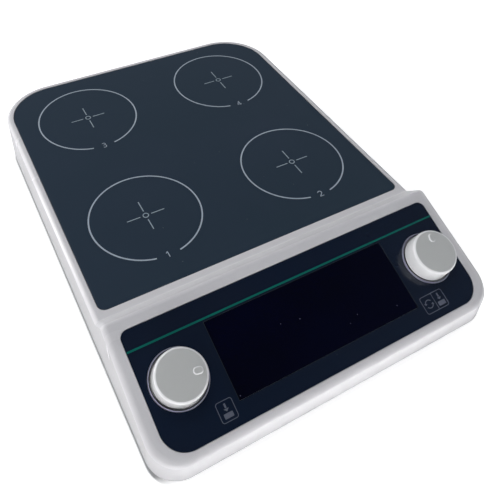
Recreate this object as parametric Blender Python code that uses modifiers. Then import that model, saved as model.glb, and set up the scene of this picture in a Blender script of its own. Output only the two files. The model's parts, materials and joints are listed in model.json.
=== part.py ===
"""Four-station magnetic stirrer: a glass deck over four magnet rotors, with a tilted control panel.

Metres, +Z up. The origin is on the table, under the middle of the body. +X is to the right of
someone who stands in front of the controls, and +Y is to the back.
"""

import math

import bmesh
import bpy
import numpy as np
from mathutils import Matrix

# Fits and cuts
SEAT = 0.0003  # between pieces that touch
RUNNING = 0.0003  # between a piece that moves and what guides it
CUT = 0.006  # how far a cutter runs past what it cuts

# Deck glass, and the four stations under it
DECK_WIDTH = 0.2645
DECK_LENGTH = 0.2707
DECK_THICKNESS = 0.004
DECK_REAR_RADIUS = 0.0412
DECK_FRONT_RADIUS = 0.006
DECK_EDGE_ROUND = 0.0005
STATION_EDGE = 0.0628  # from a station's axis to the side and rear edges of the glass
STATION_FRONT_EDGE = 0.0686

# Housing
DECK_HEIGHT = 0.0455  # from the table to the rim round the glass
DECK_RIM = 0.006  # from the glass to the wall, at the height of the rim
DECK_FILLET = 0.0045
PANEL_FILLET = 0.0053
FRONT_FILLET = 0.0086
SHOULDER_TURN = math.radians(22)  # how far the fillets stop short of the wall, in a crisp edge
FRONT_RADIUS = 0.0225
RAMP_LAND = 0.0063  # flat strip between the glass and the ramp
RAMP_RISE = 0.0148  # from the deck's rim to the crest
RAMP_ANGLE = math.radians(47)
RAMP_FOOT_RADIUS = 0.003
CREST_RADIUS = 0.004
PANEL_TILT = math.radians(20)
CREST_LAND = 0.0086  # down the slope, from the crest to the panel
FRONT_RIM = 0.0054  # from the panel to the front wall
WALL = 0.0025
FLOOR = 0.0025  # under the glass and the panel
INNER_FILLET = 0.004
DRAFT = math.radians(2.6)

# Control panel and display
PANEL_LENGTH = 0.0842  # down the slope
PANEL_SIDE_RIM = 0.0097  # from the wall to the panel, at the height of the rim
PANEL_THICKNESS = 0.0015
PANEL_SINK = 0.0002  # of its face below the frame round it
PANEL_REAR_RADIUS = 0.0056
PANEL_FRONT_RADIUS = 0.0172
WINDOW_REAR_EDGE = 0.0163  # from the panel's rear edge to the window
WINDOW_LENGTH = 0.0545
WINDOW_TO_RING = 0.0098
WINDOW_LEDGE = 0.002
DISPLAY_CLEARANCE = 0.0005

# Knobs
KNOB_SIDE_EDGE = 0.0242  # from the panel's side edge to a knob's axis
KNOB_BASE_RADIUS = 0.0182
KNOB_TOP_RADIUS = 0.0174
KNOB_HEIGHT = 0.0140  # above the panel's frame
KNOB_SKIRT = 0.0011  # how far the knob dips into its ring
KNOB_EDGE_ROUND = 0.0020
KNOB_CROWN = 0.0003
KNOB_WALL = 0.002
KNOB_HUB_WALL = 0.0032
KNOB_TRAVEL = 0.0005
KNOB_RING_GAP = 0.0007
KNOB_RING_WALL = 0.0011
KNOB_RING_RISE = 0.0006
POINTER_RADIUS = 0.0109  # from the knob's axis to the middle of its raised pointer
POINTER_LENGTH = 0.0065
POINTER_WIDTH = 0.0046
POINTER_RISE = 0.0007
LEFT_POINTER = math.radians(-7)
RIGHT_POINTER = math.radians(75)

# Encoders, and the board that they stand on
SHAFT_RADIUS = 0.003
SHAFT_IN_KNOB = 0.0090
NECK_WALL = 0.0012
NECK_RISE = 0.0010  # of the neck above the panel's frame
NUT_THICKNESS = 0.002
NUT_WALL = 0.0016
NUT_SIDES = 6
ENCODER_SIDE = 0.016
ENCODER_HEIGHT = 0.008
ENCODER_EDGE = 0.0006
ACTUATOR_RADIUS = 0.0024
ACTUATOR_LENGTH = 0.002
BOARD_THICKNESS = 0.0016
BOARD_CORNER = 0.002
CONTROL_BOARD_END_EDGE = 0.004  # from the panel's ends to the board's
CONTROL_BOARD_SIDE_EDGE = 0.0155  # from the panel's side edge to the board's
BOARD_POST_RADIUS = 0.003
BOARD_POST_EDGE = 0.0045

# Base pan, feet and screws
FOOT_HEIGHT = 0.005  # from the table to the pan
FOOT_RADIUS = 0.010
FOOT_TAPER = 0.0012
FOOT_ROUND = 0.0012
FOOT_RECESS = 0.0008
FOOT_SIDE_INSET = 0.036
FOOT_REAR_INSET = 0.046
FOOT_FRONT_INSET = 0.032
PAN_THICKNESS = 0.002
PAN_INSET = 0.0006  # of the pan's edge inside the wall
LIP_HEIGHT = 0.004
LIP_THICKNESS = 0.002
LIP_CLEARANCE = 0.0004
BOSS_RADIUS = 0.0045
BOSS_SIDE_INSET = 0.019
BOSS_REAR_INSET = 0.036
BOSS_FRONT_INSET = 0.024
CUP_HEIGHT = 0.003  # of the pan's screw cups above its floor
CUP_WALL = 0.0015
HEAD_RADIUS = 0.003
HEAD_HEIGHT = 0.002
THREAD_RADIUS = 0.0015
CASE_SCREW_LENGTH = 0.012

# Motors, rotors and the plate that carries them
CHASSIS_THICKNESS = 0.0015
CHASSIS_MARGIN_SIDE = 0.0415  # from a station's axis
CHASSIS_MARGIN_END = 0.038
CHASSIS_CORNER = 0.006
CHASSIS_WINDOW_SIDE = 0.030
CHASSIS_WINDOW_CORNER = 0.008
POST_RADIUS = 0.004
POST_INSET = 0.008
CHASSIS_SCREW_LENGTH = 0.006
ROTOR_RADIUS = 0.029
ROTOR_THICKNESS = 0.006
ROTOR_EDGE = 0.0008
ROTOR_HEADROOM = 0.0015  # under the floor of the deck
ROTOR_HUB_RADIUS = 0.0055
ROTOR_HUB_DROP = 0.002
MAGNET_RADIUS = 0.008
MAGNET_THICKNESS = 0.0045
MAGNET_SPACING = 0.036
MOTOR_RADIUS = 0.017
MOTOR_PAN_GAP = 0.0047  # from a motor's end to the pan under it
MOTOR_EDGE = 0.001
MOTOR_NECK_RADIUS = 0.005
MOTOR_NECK_RISE = 0.0015  # above the chassis plate
MOTOR_SHAFT_RADIUS = 0.0015
MOTOR_SHAFT_END = 0.004  # from a motor's end to its shaft's
HUB_GAP = 0.001  # between a motor's neck and the rotor's hub

# Inlet and switch in the rear wall
POCKET_X = 0.045
POCKET_Z = 0.0235
POCKET_WIDTH = 0.050
POCKET_HEIGHT = 0.020
POCKET_DEPTH = 0.006
POCKET_CORNER = 0.003
POCKET_WALL = 0.002
SWITCH_WIDTH = 0.021
SWITCH_HEIGHT = 0.015
SWITCH_FLANGE = 0.0018
SWITCH_BODY_DEPTH = 0.013
SWITCH_BODY_INSET = 0.0012
SWITCH_OFFSET = 0.0115  # from the pocket's middle
ROCKER_THROW = math.radians(14)
ROCKER_WIDTH = 0.0142
ROCKER_HEIGHT = 0.009
ROCKER_RISE = 0.003
ROCKER_DEPTH = 0.0025
ROCKER_VALLEY = 0.0009
ROCKER_FOOT_INSET = 0.0016
ROCKER_PIVOT_SINK = 0.001
ROCKER_SWING_GAP = 0.0007
JACK_OFFSET = -0.0140
JACK_FLANGE_RADIUS = 0.006
JACK_FLANGE = 0.0015
JACK_BODY_RADIUS = 0.0042
JACK_BORE_RADIUS = 0.0032
JACK_PIN_RADIUS = 0.001
JACK_BORE_DEPTH = 0.0095
JACK_PIN_SINK = 0.0005
JACK_LENGTH = 0.011

# Main board
MAIN_BOARD_WIDTH = 0.120
MAIN_BOARD_LENGTH = 0.050
MAIN_BOARD_RISE = 0.006  # above the pan's floor
MAIN_BOARD_BEHIND_CREST = 0.005
COIL_SIDE = 0.018
COIL_HEIGHT = 0.007
COIL_OFFSET = 0.030  # from the board's middle to the left
CAPACITOR_RADIUS = 0.005
CAPACITOR_HEIGHT = 0.009
ROW_OFFSET = 0.0125  # of each row from the middle
ROW_PITCH = 0.015
SOCKET_WIDTH = 0.012
SOCKET_LENGTH = 0.006
SOCKET_HEIGHT = 0.006

# Facets
REAR_STEPS = 10
FRONT_STEPS = 8
FILLET_STEPS = 4
ARC_STEPS = 3
CORNER_STEPS = 4
ROUND_STEPS = 32
MIDDLE_STEPS = 20
SMALL_STEPS = 12
SCREW_STEPS = 8
MERGE = 0.00001
SMOOTH_ANGLE = math.radians(35)

# Worked out from the sizes above: heights
PAN_TOP = FOOT_HEIGHT + PAN_THICKNESS
HOUSING_BOTTOM = PAN_TOP + SEAT
POCKET_FLOOR = DECK_HEIGHT - DECK_THICKNESS - SEAT - PANEL_SINK
DECK_CEILING = POCKET_FLOOR - FLOOR
PANEL_CEILING = PANEL_SINK + PANEL_THICKNESS + SEAT + FLOOR  # below the panel's frame

# Worked out: places along Y, first from the rear wall's foot, then with the middle at zero
DECK_DRAFT = (DECK_HEIGHT - HOUSING_BOTTOM) * math.tan(DRAFT)
CREST_HEIGHT = DECK_HEIGHT + RAMP_RISE
RAMP_RUN = RAMP_RISE / math.tan(RAMP_ANGLE)
SLOPE_LENGTH = CREST_LAND + PANEL_LENGTH
FRONT_TOP = CREST_HEIGHT - SLOPE_LENGTH * math.sin(PANEL_TILT)
FRONT_DRAFT = (FRONT_TOP - HOUSING_BOTTOM) * math.tan(DRAFT)
REAR_TO_DECK = DECK_DRAFT + DECK_RIM
REAR_TO_CREST = REAR_TO_DECK + DECK_LENGTH + RAMP_LAND + RAMP_RUN
BODY_DEPTH = REAR_TO_CREST + SLOPE_LENGTH * math.cos(PANEL_TILT) + FRONT_RIM + FRONT_DRAFT
BODY_REAR = BODY_DEPTH / 2
BODY_FRONT = -BODY_DEPTH / 2
BODY_HALF = DECK_WIDTH / 2 + DECK_RIM + DECK_DRAFT
BODY_REAR_RADIUS = DECK_REAR_RADIUS + DECK_RIM + DECK_DRAFT
DECK_REAR = BODY_REAR - REAR_TO_DECK
DECK_FRONT = DECK_REAR - DECK_LENGTH
CREST_Y = BODY_REAR - REAR_TO_CREST
FOOT_Y = CREST_Y + RAMP_RUN

# Worked out: the panel's own frame, with its origin in the middle of the panel
PANEL_Y = CREST_Y - (CREST_LAND + PANEL_LENGTH / 2) * math.cos(PANEL_TILT)
PANEL_Z = CREST_HEIGHT - (CREST_LAND + PANEL_LENGTH / 2) * math.sin(PANEL_TILT)
PANEL_HALF = DECK_WIDTH / 2 + DECK_RIM - PANEL_SIDE_RIM
KNOB_X = PANEL_HALF - KNOB_SIDE_EDGE
RING_INNER = KNOB_BASE_RADIUS + KNOB_RING_GAP
RING_OUTER = RING_INNER + KNOB_RING_WALL
WINDOW_HALF = KNOB_X - RING_OUTER - WINDOW_TO_RING
WINDOW_Y = PANEL_LENGTH / 2 - WINDOW_REAR_EDGE - WINDOW_LENGTH / 2
PANEL_BACK = -PANEL_SINK - PANEL_THICKNESS
FRAME_FLOOR = PANEL_BACK - SEAT
ENCODER_TOP = -PANEL_CEILING - SEAT
BOARD_TOP = ENCODER_TOP - ENCODER_HEIGHT - SEAT
NECK_RADIUS = SHAFT_RADIUS + RUNNING + NECK_WALL
ACTUATOR_LOW = BOARD_TOP + KNOB_TRAVEL + RUNNING
SHAFT_LOW = ACTUATOR_LOW + ACTUATOR_LENGTH + RUNNING
HUB_LOW = NECK_RISE + KNOB_TRAVEL + RUNNING
SHAFT_TOP = HUB_LOW + SHAFT_IN_KNOB
HUB_RADIUS = SHAFT_RADIUS + RUNNING + KNOB_HUB_WALL

# Worked out: the stations and what stands under them
STATION_X = DECK_WIDTH / 2 - STATION_EDGE
STATION_REAR = DECK_REAR - STATION_EDGE
STATION_FRONT = DECK_FRONT + STATION_FRONT_EDGE
STATION_MIDDLE = (STATION_REAR + STATION_FRONT) / 2
ROTOR_TOP = DECK_CEILING - ROTOR_HEADROOM
ROTOR_LOW = ROTOR_TOP - ROTOR_THICKNESS
HUB_BOTTOM = ROTOR_LOW - ROTOR_HUB_DROP
CHASSIS_TOP = HUB_BOTTOM - HUB_GAP - MOTOR_NECK_RISE
CHASSIS_LOW = CHASSIS_TOP - CHASSIS_THICKNESS
MOTOR_TOP = CHASSIS_LOW - SEAT
MOTOR_LOW = PAN_TOP + MOTOR_PAN_GAP
MOTOR_SHAFT_LOW = MOTOR_LOW + MOTOR_SHAFT_END
CHASSIS_HALF = STATION_X + CHASSIS_MARGIN_SIDE
CHASSIS_REAR = STATION_REAR + CHASSIS_MARGIN_END
CHASSIS_FRONT = STATION_FRONT - CHASSIS_MARGIN_END
MAIN_BOARD_LOW = PAN_TOP + MAIN_BOARD_RISE
MAIN_BOARD_Y = CREST_Y + MAIN_BOARD_BEHIND_CREST - MAIN_BOARD_LENGTH / 2

# Worked out: screws, feet and the rear pocket
CUP_TOP = PAN_TOP + CUP_HEIGHT
CUP_RADIUS = HEAD_RADIUS + RUNNING + CUP_WALL
HEAD_SEAT = CUP_TOP - CUP_WALL
THREAD_HOLE = THREAD_RADIUS + SEAT
CASE_SCREW_PLACES = [
    (side * (BODY_HALF - BOSS_SIDE_INSET), y)
    for y in (BODY_REAR - BOSS_REAR_INSET, STATION_MIDDLE, BODY_FRONT + BOSS_FRONT_INSET)
    for side in (-1, 1)
]
FOOT_PLACES = {
    "front_left": (FOOT_SIDE_INSET - BODY_HALF, BODY_FRONT + FOOT_FRONT_INSET),
    "front_right": (BODY_HALF - FOOT_SIDE_INSET, BODY_FRONT + FOOT_FRONT_INSET),
    "rear_left": (FOOT_SIDE_INSET - BODY_HALF, BODY_REAR - FOOT_REAR_INSET),
    "rear_right": (BODY_HALF - FOOT_SIDE_INSET, BODY_REAR - FOOT_REAR_INSET),
}
STATIONS = {
    "1": (-STATION_X, STATION_FRONT),
    "2": (STATION_X, STATION_FRONT),
    "3": (-STATION_X, STATION_REAR),
    "4": (STATION_X, STATION_REAR),
}
CHASSIS_SCREW_PLACES = [
    (side * (CHASSIS_HALF - POST_INSET), y)
    for y in (CHASSIS_FRONT + POST_INSET, CHASSIS_REAR - POST_INSET)
    for side in (-1, 1)
]
MAIN_POST_PLACES = [
    (x, MAIN_BOARD_Y + y)
    for x in (BOARD_POST_EDGE - MAIN_BOARD_WIDTH / 2, MAIN_BOARD_WIDTH / 2 - BOARD_POST_EDGE)
    for y in (BOARD_POST_EDGE - MAIN_BOARD_LENGTH / 2, MAIN_BOARD_LENGTH / 2 - BOARD_POST_EDGE)
]
POCKET_TOP_DRAFT = (POCKET_Z + POCKET_HEIGHT / 2 - HOUSING_BOTTOM) * math.tan(DRAFT)
POCKET_BLOCK = POCKET_DEPTH - POCKET_TOP_DRAFT - WALL / 2
SWITCH_FACE = SEAT + SWITCH_FLANGE


def clear_scene():
    for obj in list(bpy.data.objects):
        bpy.data.objects.remove(obj, do_unlink=True)


def new_collection(name):
    collection = bpy.data.collections.new(name)
    bpy.context.scene.collection.children.link(collection)
    return collection


clear_scene()
PARTS = new_collection("magnetic_stirrer")
CUTTERS = new_collection("cutters")


def paint(name, color, roughness, metallic=0.0):
    made = bpy.data.materials.new(name)
    made.use_nodes = True
    shader = made.node_tree.nodes["Principled BSDF"]
    shader.inputs["Base Color"].default_value = (*color, 1)
    shader.inputs["Roughness"].default_value = roughness
    shader.inputs["Metallic"].default_value = metallic
    made.diffuse_color = (*color, 1)
    return made


WHITE = paint("white_plastic", (0.74, 0.73, 0.75), 0.35)
DARK_GLASS = paint("dark_glass", (0.028, 0.040, 0.055), 0.08)
PANEL_FACE = paint("panel_face", (0.010, 0.014, 0.026), 0.15)
CLEAR_WINDOW = paint("display_window", (0.003, 0.004, 0.012), 0.06)
KNOB_WHITE = paint("knob_white", (0.72, 0.73, 0.71), 0.30)
RING_GREY = paint("ring_grey", (0.26, 0.27, 0.33), 0.40)
PAN_GREY = paint("pan_grey", (0.060, 0.060, 0.065), 0.55)
RUBBER = paint("rubber", (0.030, 0.030, 0.030), 0.85)
STEEL = paint("steel", (0.55, 0.55, 0.55), 0.30, 1.0)
ZINC = paint("zinc_plate", (0.60, 0.60, 0.58), 0.42, 1.0)
NICKEL = paint("magnet_nickel", (0.66, 0.64, 0.60), 0.20, 1.0)
CARRIER = paint("carrier_plastic", (0.050, 0.052, 0.055), 0.50)
BOARD_GREEN = paint("board_green", (0.020, 0.110, 0.050), 0.45)
BLACK = paint("black_plastic", (0.018, 0.018, 0.019), 0.42)


def add_object(name, mesh, collection, parent, place):
    obj = bpy.data.objects.new(name, mesh)
    collection.objects.link(obj)
    obj.parent = parent
    obj.location = place
    return obj


def part(name, mesh, finish, parent=None, place=(0, 0, 0)):
    """One piece of the stirrer."""
    mesh.materials.clear()
    mesh.materials.append(finish)
    return add_object(name, mesh, PARTS, parent, place)


def cutter(name, mesh, parent=None, place=(0, 0, 0)):
    """A shape that is cut from a piece or joined to it, and isn't one itself."""
    obj = add_object(name, mesh, CUTTERS, parent, place)
    obj.hide_render = True
    obj.display_type = "WIRE"
    return obj


def empty(name, place, turn=(0, 0, 0)):
    obj = bpy.data.objects.new(name, None)
    PARTS.objects.link(obj)
    obj.location = place
    obj.rotation_euler = turn
    return obj


def boolean(obj, other, operation):
    modifier = obj.modifiers.new(f"{operation.lower()}_{other.name}", "BOOLEAN")
    modifier.operation = operation
    modifier.solver = "EXACT"
    modifier.object = other


def cut(obj, *others):
    for other in others:
        boolean(obj, other, "DIFFERENCE")


def join(obj, *others):
    for other in others:
        boolean(obj, other, "UNION")


def bevel(obj, width, segments=2):
    modifier = obj.modifiers.new("rounded_edges", "BEVEL")
    modifier.width = width
    modifier.segments = segments
    modifier.limit_method = "ANGLE"
    modifier.angle_limit = math.radians(50)
    return obj


def finish_mesh(bm, name):
    mesh = bpy.data.meshes.new(name)
    bm.to_mesh(mesh)
    bm.free()
    mesh.shade_smooth()
    mesh.set_sharp_from_angle(angle=SMOOTH_ANGLE)
    return mesh


def cylinders(radius, low, high, places=((0, 0),), steps=SMALL_STEPS):
    """A mesh of upright cylinders, one at each place."""
    bm = bmesh.new()
    for x, y in places:
        bmesh.ops.create_cone(
            bm,
            cap_ends=True,
            segments=steps,
            radius1=radius,
            radius2=radius,
            depth=high - low,
            matrix=Matrix.Translation((x, y, (low + high) / 2)),
        )
    return finish_mesh(bm, "cylinders")


def box(x, y, z):
    """A box from three pairs of low and high."""
    bm = bmesh.new()
    middle = [(low + high) / 2 for low, high in (x, y, z)]
    sides = [high - low for low, high in (x, y, z)]
    bmesh.ops.create_cube(bm, size=1, matrix=Matrix.Translation(middle) @ Matrix.Diagonal((*sides, 1)))
    return finish_mesh(bm, "box")


def prism(outline, low, high):
    """An upright solid on a flat outline, drawn as a filled and extruded curve."""
    curve = bpy.data.curves.new("outline", "CURVE")
    curve.dimensions = "2D"
    curve.fill_mode = "BOTH"
    curve.extrude = (high - low) / 2
    spline = curve.splines.new("POLY")
    spline.points.add(len(outline) - 1)
    for point, (x, y) in zip(spline.points, outline):
        point.co = (x, y, 0, 1)
    spline.use_cyclic_u = True
    guide = bpy.data.objects.new("outline", curve)
    bpy.context.scene.collection.objects.link(guide)
    bpy.context.view_layer.update()
    graph = bpy.context.evaluated_depsgraph_get()
    mesh = bpy.data.meshes.new_from_object(guide.evaluated_get(graph))
    bpy.data.objects.remove(guide)
    bm = bmesh.new()
    bm.from_mesh(mesh)
    bmesh.ops.remove_doubles(bm, verts=bm.verts, dist=MERGE)
    flat = math.radians(1)
    bmesh.ops.dissolve_limit(bm, angle_limit=flat, verts=bm.verts, edges=bm.edges)
    bmesh.ops.recalc_face_normals(bm, faces=bm.faces)
    bmesh.ops.translate(bm, verts=bm.verts, vec=(0, 0, (low + high) / 2))
    return finish_mesh(bm, "prism")


def turned(profile):
    """A mesh line of (radius, height) points, for spin() to turn about its object's Z axis."""
    mesh = bpy.data.meshes.new("turned")
    edges = [(i, i + 1) for i in range(len(profile) - 1)]
    if profile[0][0] > 0:
        edges.append((len(profile) - 1, 0))
    mesh.from_pydata([(radius, 0, height) for radius, height in profile], edges, [])
    return mesh


def spin(obj, steps=ROUND_STEPS):
    modifier = obj.modifiers.new("turned", "SCREW")
    modifier.steps = steps
    modifier.render_steps = steps
    modifier.use_merge_vertices = True
    modifier.merge_threshold = MERGE
    modifier.use_smooth_shade = True
    return obj


def arc(centre, radius, start, end, steps):
    """Points of an arc in a plane, from one angle to another."""
    turns = np.linspace(start, end, steps + 1)
    return [(centre[0] + radius * math.cos(a), centre[1] + radius * math.sin(a)) for a in turns]


def rounded_rectangle(x, y, rear_radius, front_radius, steps=CORNER_STEPS):
    """An outline, anticlockwise from the rear right corner."""
    quarter = math.pi / 2
    corners = (
        (x[1] - rear_radius, y[1] - rear_radius, rear_radius, 0),
        (x[0] + rear_radius, y[1] - rear_radius, rear_radius, 1),
        (x[0] + front_radius, y[0] + front_radius, front_radius, 2),
        (x[1] - front_radius, y[0] + front_radius, front_radius, 3),
    )
    return [
        point
        for cx, cy, radius, turn in corners
        for point in arc((cx, cy), radius, turn * quarter, (turn + 1) * quarter, steps)
    ]


def meet(first, second):
    """Where two lines cross, each a point and a slope in the side view."""
    (y1, z1), slope1 = first
    (y2, z2), slope2 = second
    y = (z2 - z1 + slope1 * y1 - slope2 * y2) / (slope1 - slope2)
    return y, z1 + slope1 * (y - y1)


def round_corner(before, corner, after, radius, steps=ARC_STEPS):
    """The points that round one corner of a line in the side view."""
    before, corner, after = (np.array(point) for point in (before, corner, after))
    back = (before - corner) / np.linalg.norm(before - corner)
    on = (after - corner) / np.linalg.norm(after - corner)
    half = math.acos(float(back @ on)) / 2
    middle = (back + on) / np.linalg.norm(back + on)
    centre = corner + middle * radius / math.sin(half)
    start = corner + back * radius / math.tan(half) - centre
    end = corner + on * radius / math.tan(half) - centre
    sweep = math.pi - 2 * half
    return [
        tuple(centre + (start * math.sin(sweep * (1 - t)) + end * math.sin(sweep * t)) / math.sin(sweep))
        for t in np.linspace(0, 1, steps + 1)
    ]


def side_lines(deck, ramp_shift, panel_drop):
    """The deck, ramp and panel in the side view, each moved inward by its own amount."""
    ramp_slope = -math.tan(RAMP_ANGLE)
    panel_slope = math.tan(PANEL_TILT)
    deck_line = ((BODY_REAR, deck), 0)
    ramp_line = ((FOOT_Y - ramp_shift / math.sin(RAMP_ANGLE), DECK_HEIGHT), ramp_slope)
    panel_line = ((CREST_Y, CREST_HEIGHT - panel_drop / math.cos(PANEL_TILT)), panel_slope)
    return deck_line, ramp_line, panel_line


def side_view(deck, ramp_shift, panel_drop, foot_radius=0, crest_radius=0):
    """The top of the housing in the side view, as (y, z) from rear to front."""
    deck_line, ramp_line, panel_line = side_lines(deck, ramp_shift, panel_drop)
    foot = meet(deck_line, ramp_line)
    crest = meet(ramp_line, panel_line)
    rear = (BODY_REAR, deck)
    run = crest[0] - BODY_FRONT + CUT
    front = (crest[0] - run, crest[1] - run * math.tan(PANEL_TILT))
    if not foot_radius:
        return [rear, foot, crest, front]
    foot_arc = round_corner(rear, foot, crest, foot_radius)
    crest_arc = round_corner(foot, crest, front, crest_radius)
    return [rear, *foot_arc, *crest_arc, front]


def top_height(view, y):
    heights = sorted(view)
    return float(np.interp(y, [point[0] for point in heights], [point[1] for point in heights]))


def half_outline(inset, marks=()):
    """The right half of the wall's foot, rear to front, as points with their outward direction."""
    half, rear, front = BODY_HALF - inset, BODY_REAR - inset, BODY_FRONT + inset
    rear_radius, front_radius = BODY_REAR_RADIUS - inset, FRONT_RADIUS - inset
    points = [(0, rear, 0, 1)]
    for turn in np.linspace(math.pi / 2, 0, REAR_STEPS + 1):
        nx, ny = math.cos(turn), math.sin(turn)
        points.append((half - rear_radius * (1 - nx), rear - rear_radius * (1 - ny), nx, ny))
    points += [(half, y, 1, 0) for y in marks]
    for turn in np.linspace(0, -math.pi / 2, FRONT_STEPS + 1):
        nx, ny = math.cos(turn), math.sin(turn)
        points.append((half - front_radius * (1 - nx), front + front_radius * (1 + ny), nx, ny))
    points.append((0, front, 0, -1))
    return points


def plan_outline(inset):
    """The whole outline of the wall's foot."""
    right = [(x, y) for x, y, _, _ in half_outline(inset)]
    left = [(-x, y) for x, y in reversed(right[1:-1])]
    return right[::-1] + left[::-1]


def wall_and_fillet(foot_low, height, slope, radius, short):
    """(outward, z) points up a drafted wall and round the fillet to a top with the given slope.

    The fillet stops short of the wall's own direction by an angle.
    """
    lean = math.atan(-slope)
    top_normal = np.array([math.sin(lean), math.cos(lean)])
    wall_normal = np.array([math.cos(DRAFT), math.sin(DRAFT)])
    reach = [
        top_normal @ (0, height) - radius,
        wall_normal @ (0, HOUSING_BOTTOM) - radius * math.cos(short),
    ]
    centre = np.linalg.solve(np.array([top_normal, wall_normal]), np.array(reach))
    foot = ((HOUSING_BOTTOM - foot_low) * math.tan(DRAFT), foot_low)
    turns = np.linspace(math.pi / 2 - DRAFT - short, lean, FILLET_STEPS + 1)
    return [foot] + [(centre[0] + radius * math.sin(a), centre[1] + radius * math.cos(a)) for a in turns]


def fillet_at(y, ny, foot_y, crest_y):
    """The outer fillet's radius grows from the deck to the control section, and again to the front."""
    share = min(max((foot_y - y) / (foot_y - crest_y), 0), 1)
    side = DECK_FILLET + (PANEL_FILLET - DECK_FILLET) * share
    return side + (FRONT_FILLET - PANEL_FILLET) * max(-ny, 0)


def lofted_shell(view, inset, foot_low, radius_at, short=0):
    """A closed loft whose walls follow the plan outline and whose top follows the side view."""
    straight_rear = BODY_REAR - BODY_REAR_RADIUS
    straight_front = BODY_FRONT + FRONT_RADIUS
    marks = [y for y, _ in view if straight_front < y < straight_rear]
    bm = bmesh.new()
    columns, rungs, sills = [], [], []
    for x, y, nx, ny in half_outline(inset, marks):
        slope = math.tan(PANEL_TILT) * ny if ny < 0 else 0
        line = wall_and_fillet(foot_low, top_height(view, y), slope, radius_at(y, ny), short)
        column = [bm.verts.new((max(x + nx * out, 0), y + ny * out, z)) for out, z in line]
        columns.append(column)
    last = len(columns) - 1
    for i, column in enumerate(columns):
        ends = {0: 0, 1: 0, last - 1: last, last: last}
        if i in ends:
            sills.append(columns[ends[i]][0])
            rungs.append(columns[ends[i]][-1])
            continue
        sills.append(bm.verts.new((0, *column[0].co[1:])))
        rungs.append(bm.verts.new((0, *column[-1].co[1:])))
    for i in range(last):
        here, there = columns[i], columns[i + 1]
        for k in range(len(here) - 1):
            bm.faces.new((here[k], here[k + 1], there[k + 1], there[k]))
        if 0 < i < last - 1:
            bm.faces.new((here[-1], rungs[i], rungs[i + 1], there[-1]))
            bm.faces.new((here[0], there[0], sills[i + 1], sills[i]))
    return finish_mesh(bm, "lofted_shell")


def mirrored(obj):
    modifier = obj.modifiers.new("left_half", "MIRROR")
    modifier.use_axis = (True, False, False)
    modifier.merge_threshold = MERGE
    return obj


# Parents: the panel's own frame, and one upright axis for each station
PANEL = empty("control_section", (0, PANEL_Y, PANEL_Z), (PANEL_TILT, 0, 0))
AXES = {number: empty(f"station_{number}", (*place, 0)) for number, place in STATIONS.items()}
KNOB_AXES = {
    "left": empty("knob_axis_left", (-KNOB_X, 0, 0)),
    "right": empty("knob_axis_right", (KNOB_X, 0, 0)),
}
for knob_axis in KNOB_AXES.values():
    knob_axis.parent = PANEL
REAR = empty("rear_pocket", (POCKET_X, BODY_REAR - POCKET_DEPTH, POCKET_Z), (math.pi / 2, 0, math.pi))


def deck_outline(grow):
    return rounded_rectangle(
        (-DECK_WIDTH / 2 - grow, DECK_WIDTH / 2 + grow),
        (DECK_FRONT - grow, DECK_REAR + grow),
        DECK_REAR_RADIUS + grow,
        DECK_FRONT_RADIUS + grow,
        REAR_STEPS,
    )


def panel_outline(grow):
    return rounded_rectangle(
        (-PANEL_HALF - grow, PANEL_HALF + grow),
        (-PANEL_LENGTH / 2 - grow, PANEL_LENGTH / 2 + grow),
        PANEL_REAR_RADIUS + grow,
        PANEL_FRONT_RADIUS + grow,
        FRONT_STEPS,
    )


def window_box(grow, low, high):
    return box(
        (-WINDOW_HALF - grow, WINDOW_HALF + grow),
        (WINDOW_Y - WINDOW_LENGTH / 2 - grow, WINDOW_Y + WINDOW_LENGTH / 2 + grow),
        (low, high),
    )


def control_post_places():
    x = WINDOW_HALF + (KNOB_X - ENCODER_SIDE / 2 - WINDOW_HALF) / 2
    y = PANEL_LENGTH / 2 - CONTROL_BOARD_END_EDGE - BOARD_POST_EDGE
    return [(sx * x, sy * y) for sx in (-1, 1) for sy in (-1, 1)]


def make_housing():
    """The white moulding: lofted outside, cored out, with pockets for the glass and the panel."""
    view = side_view(DECK_HEIGHT, 0, 0, RAMP_FOOT_RADIUS, CREST_RADIUS)
    foot_y, crest_y = view[1][0], view[-2][0]
    outside = lofted_shell(
        view, 0, HOUSING_BOTTOM, lambda y, ny: fillet_at(y, ny, foot_y, crest_y), SHOULDER_TURN
    )
    housing = mirrored(part("top_housing", outside, WHITE))
    inner_view = side_view(DECK_CEILING, WALL, PANEL_CEILING)
    inside = lofted_shell(inner_view, WALL, HOUSING_BOTTOM - CUT, lambda y, ny: INNER_FILLET)
    cut(housing, mirrored(cutter("housing_core", inside)))
    add_housing_bosses(housing)
    add_rear_pocket(housing)
    cut(
        housing,
        cutter("glass_pocket", prism(deck_outline(SEAT), POCKET_FLOOR, DECK_HEIGHT + CUT)),
        cutter("panel_pocket", prism(panel_outline(SEAT), FRAME_FLOOR, CUT), PANEL),
        cutter("display_opening", window_box(-WINDOW_LEDGE, -PANEL_CEILING - CUT, CUT), PANEL),
    )
    necks = cylinders(NECK_RADIUS + SEAT, -PANEL_CEILING - CUT, CUT, [(-KNOB_X, 0), (KNOB_X, 0)])
    cut(housing, cutter("neck_holes", necks, PANEL))


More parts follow.
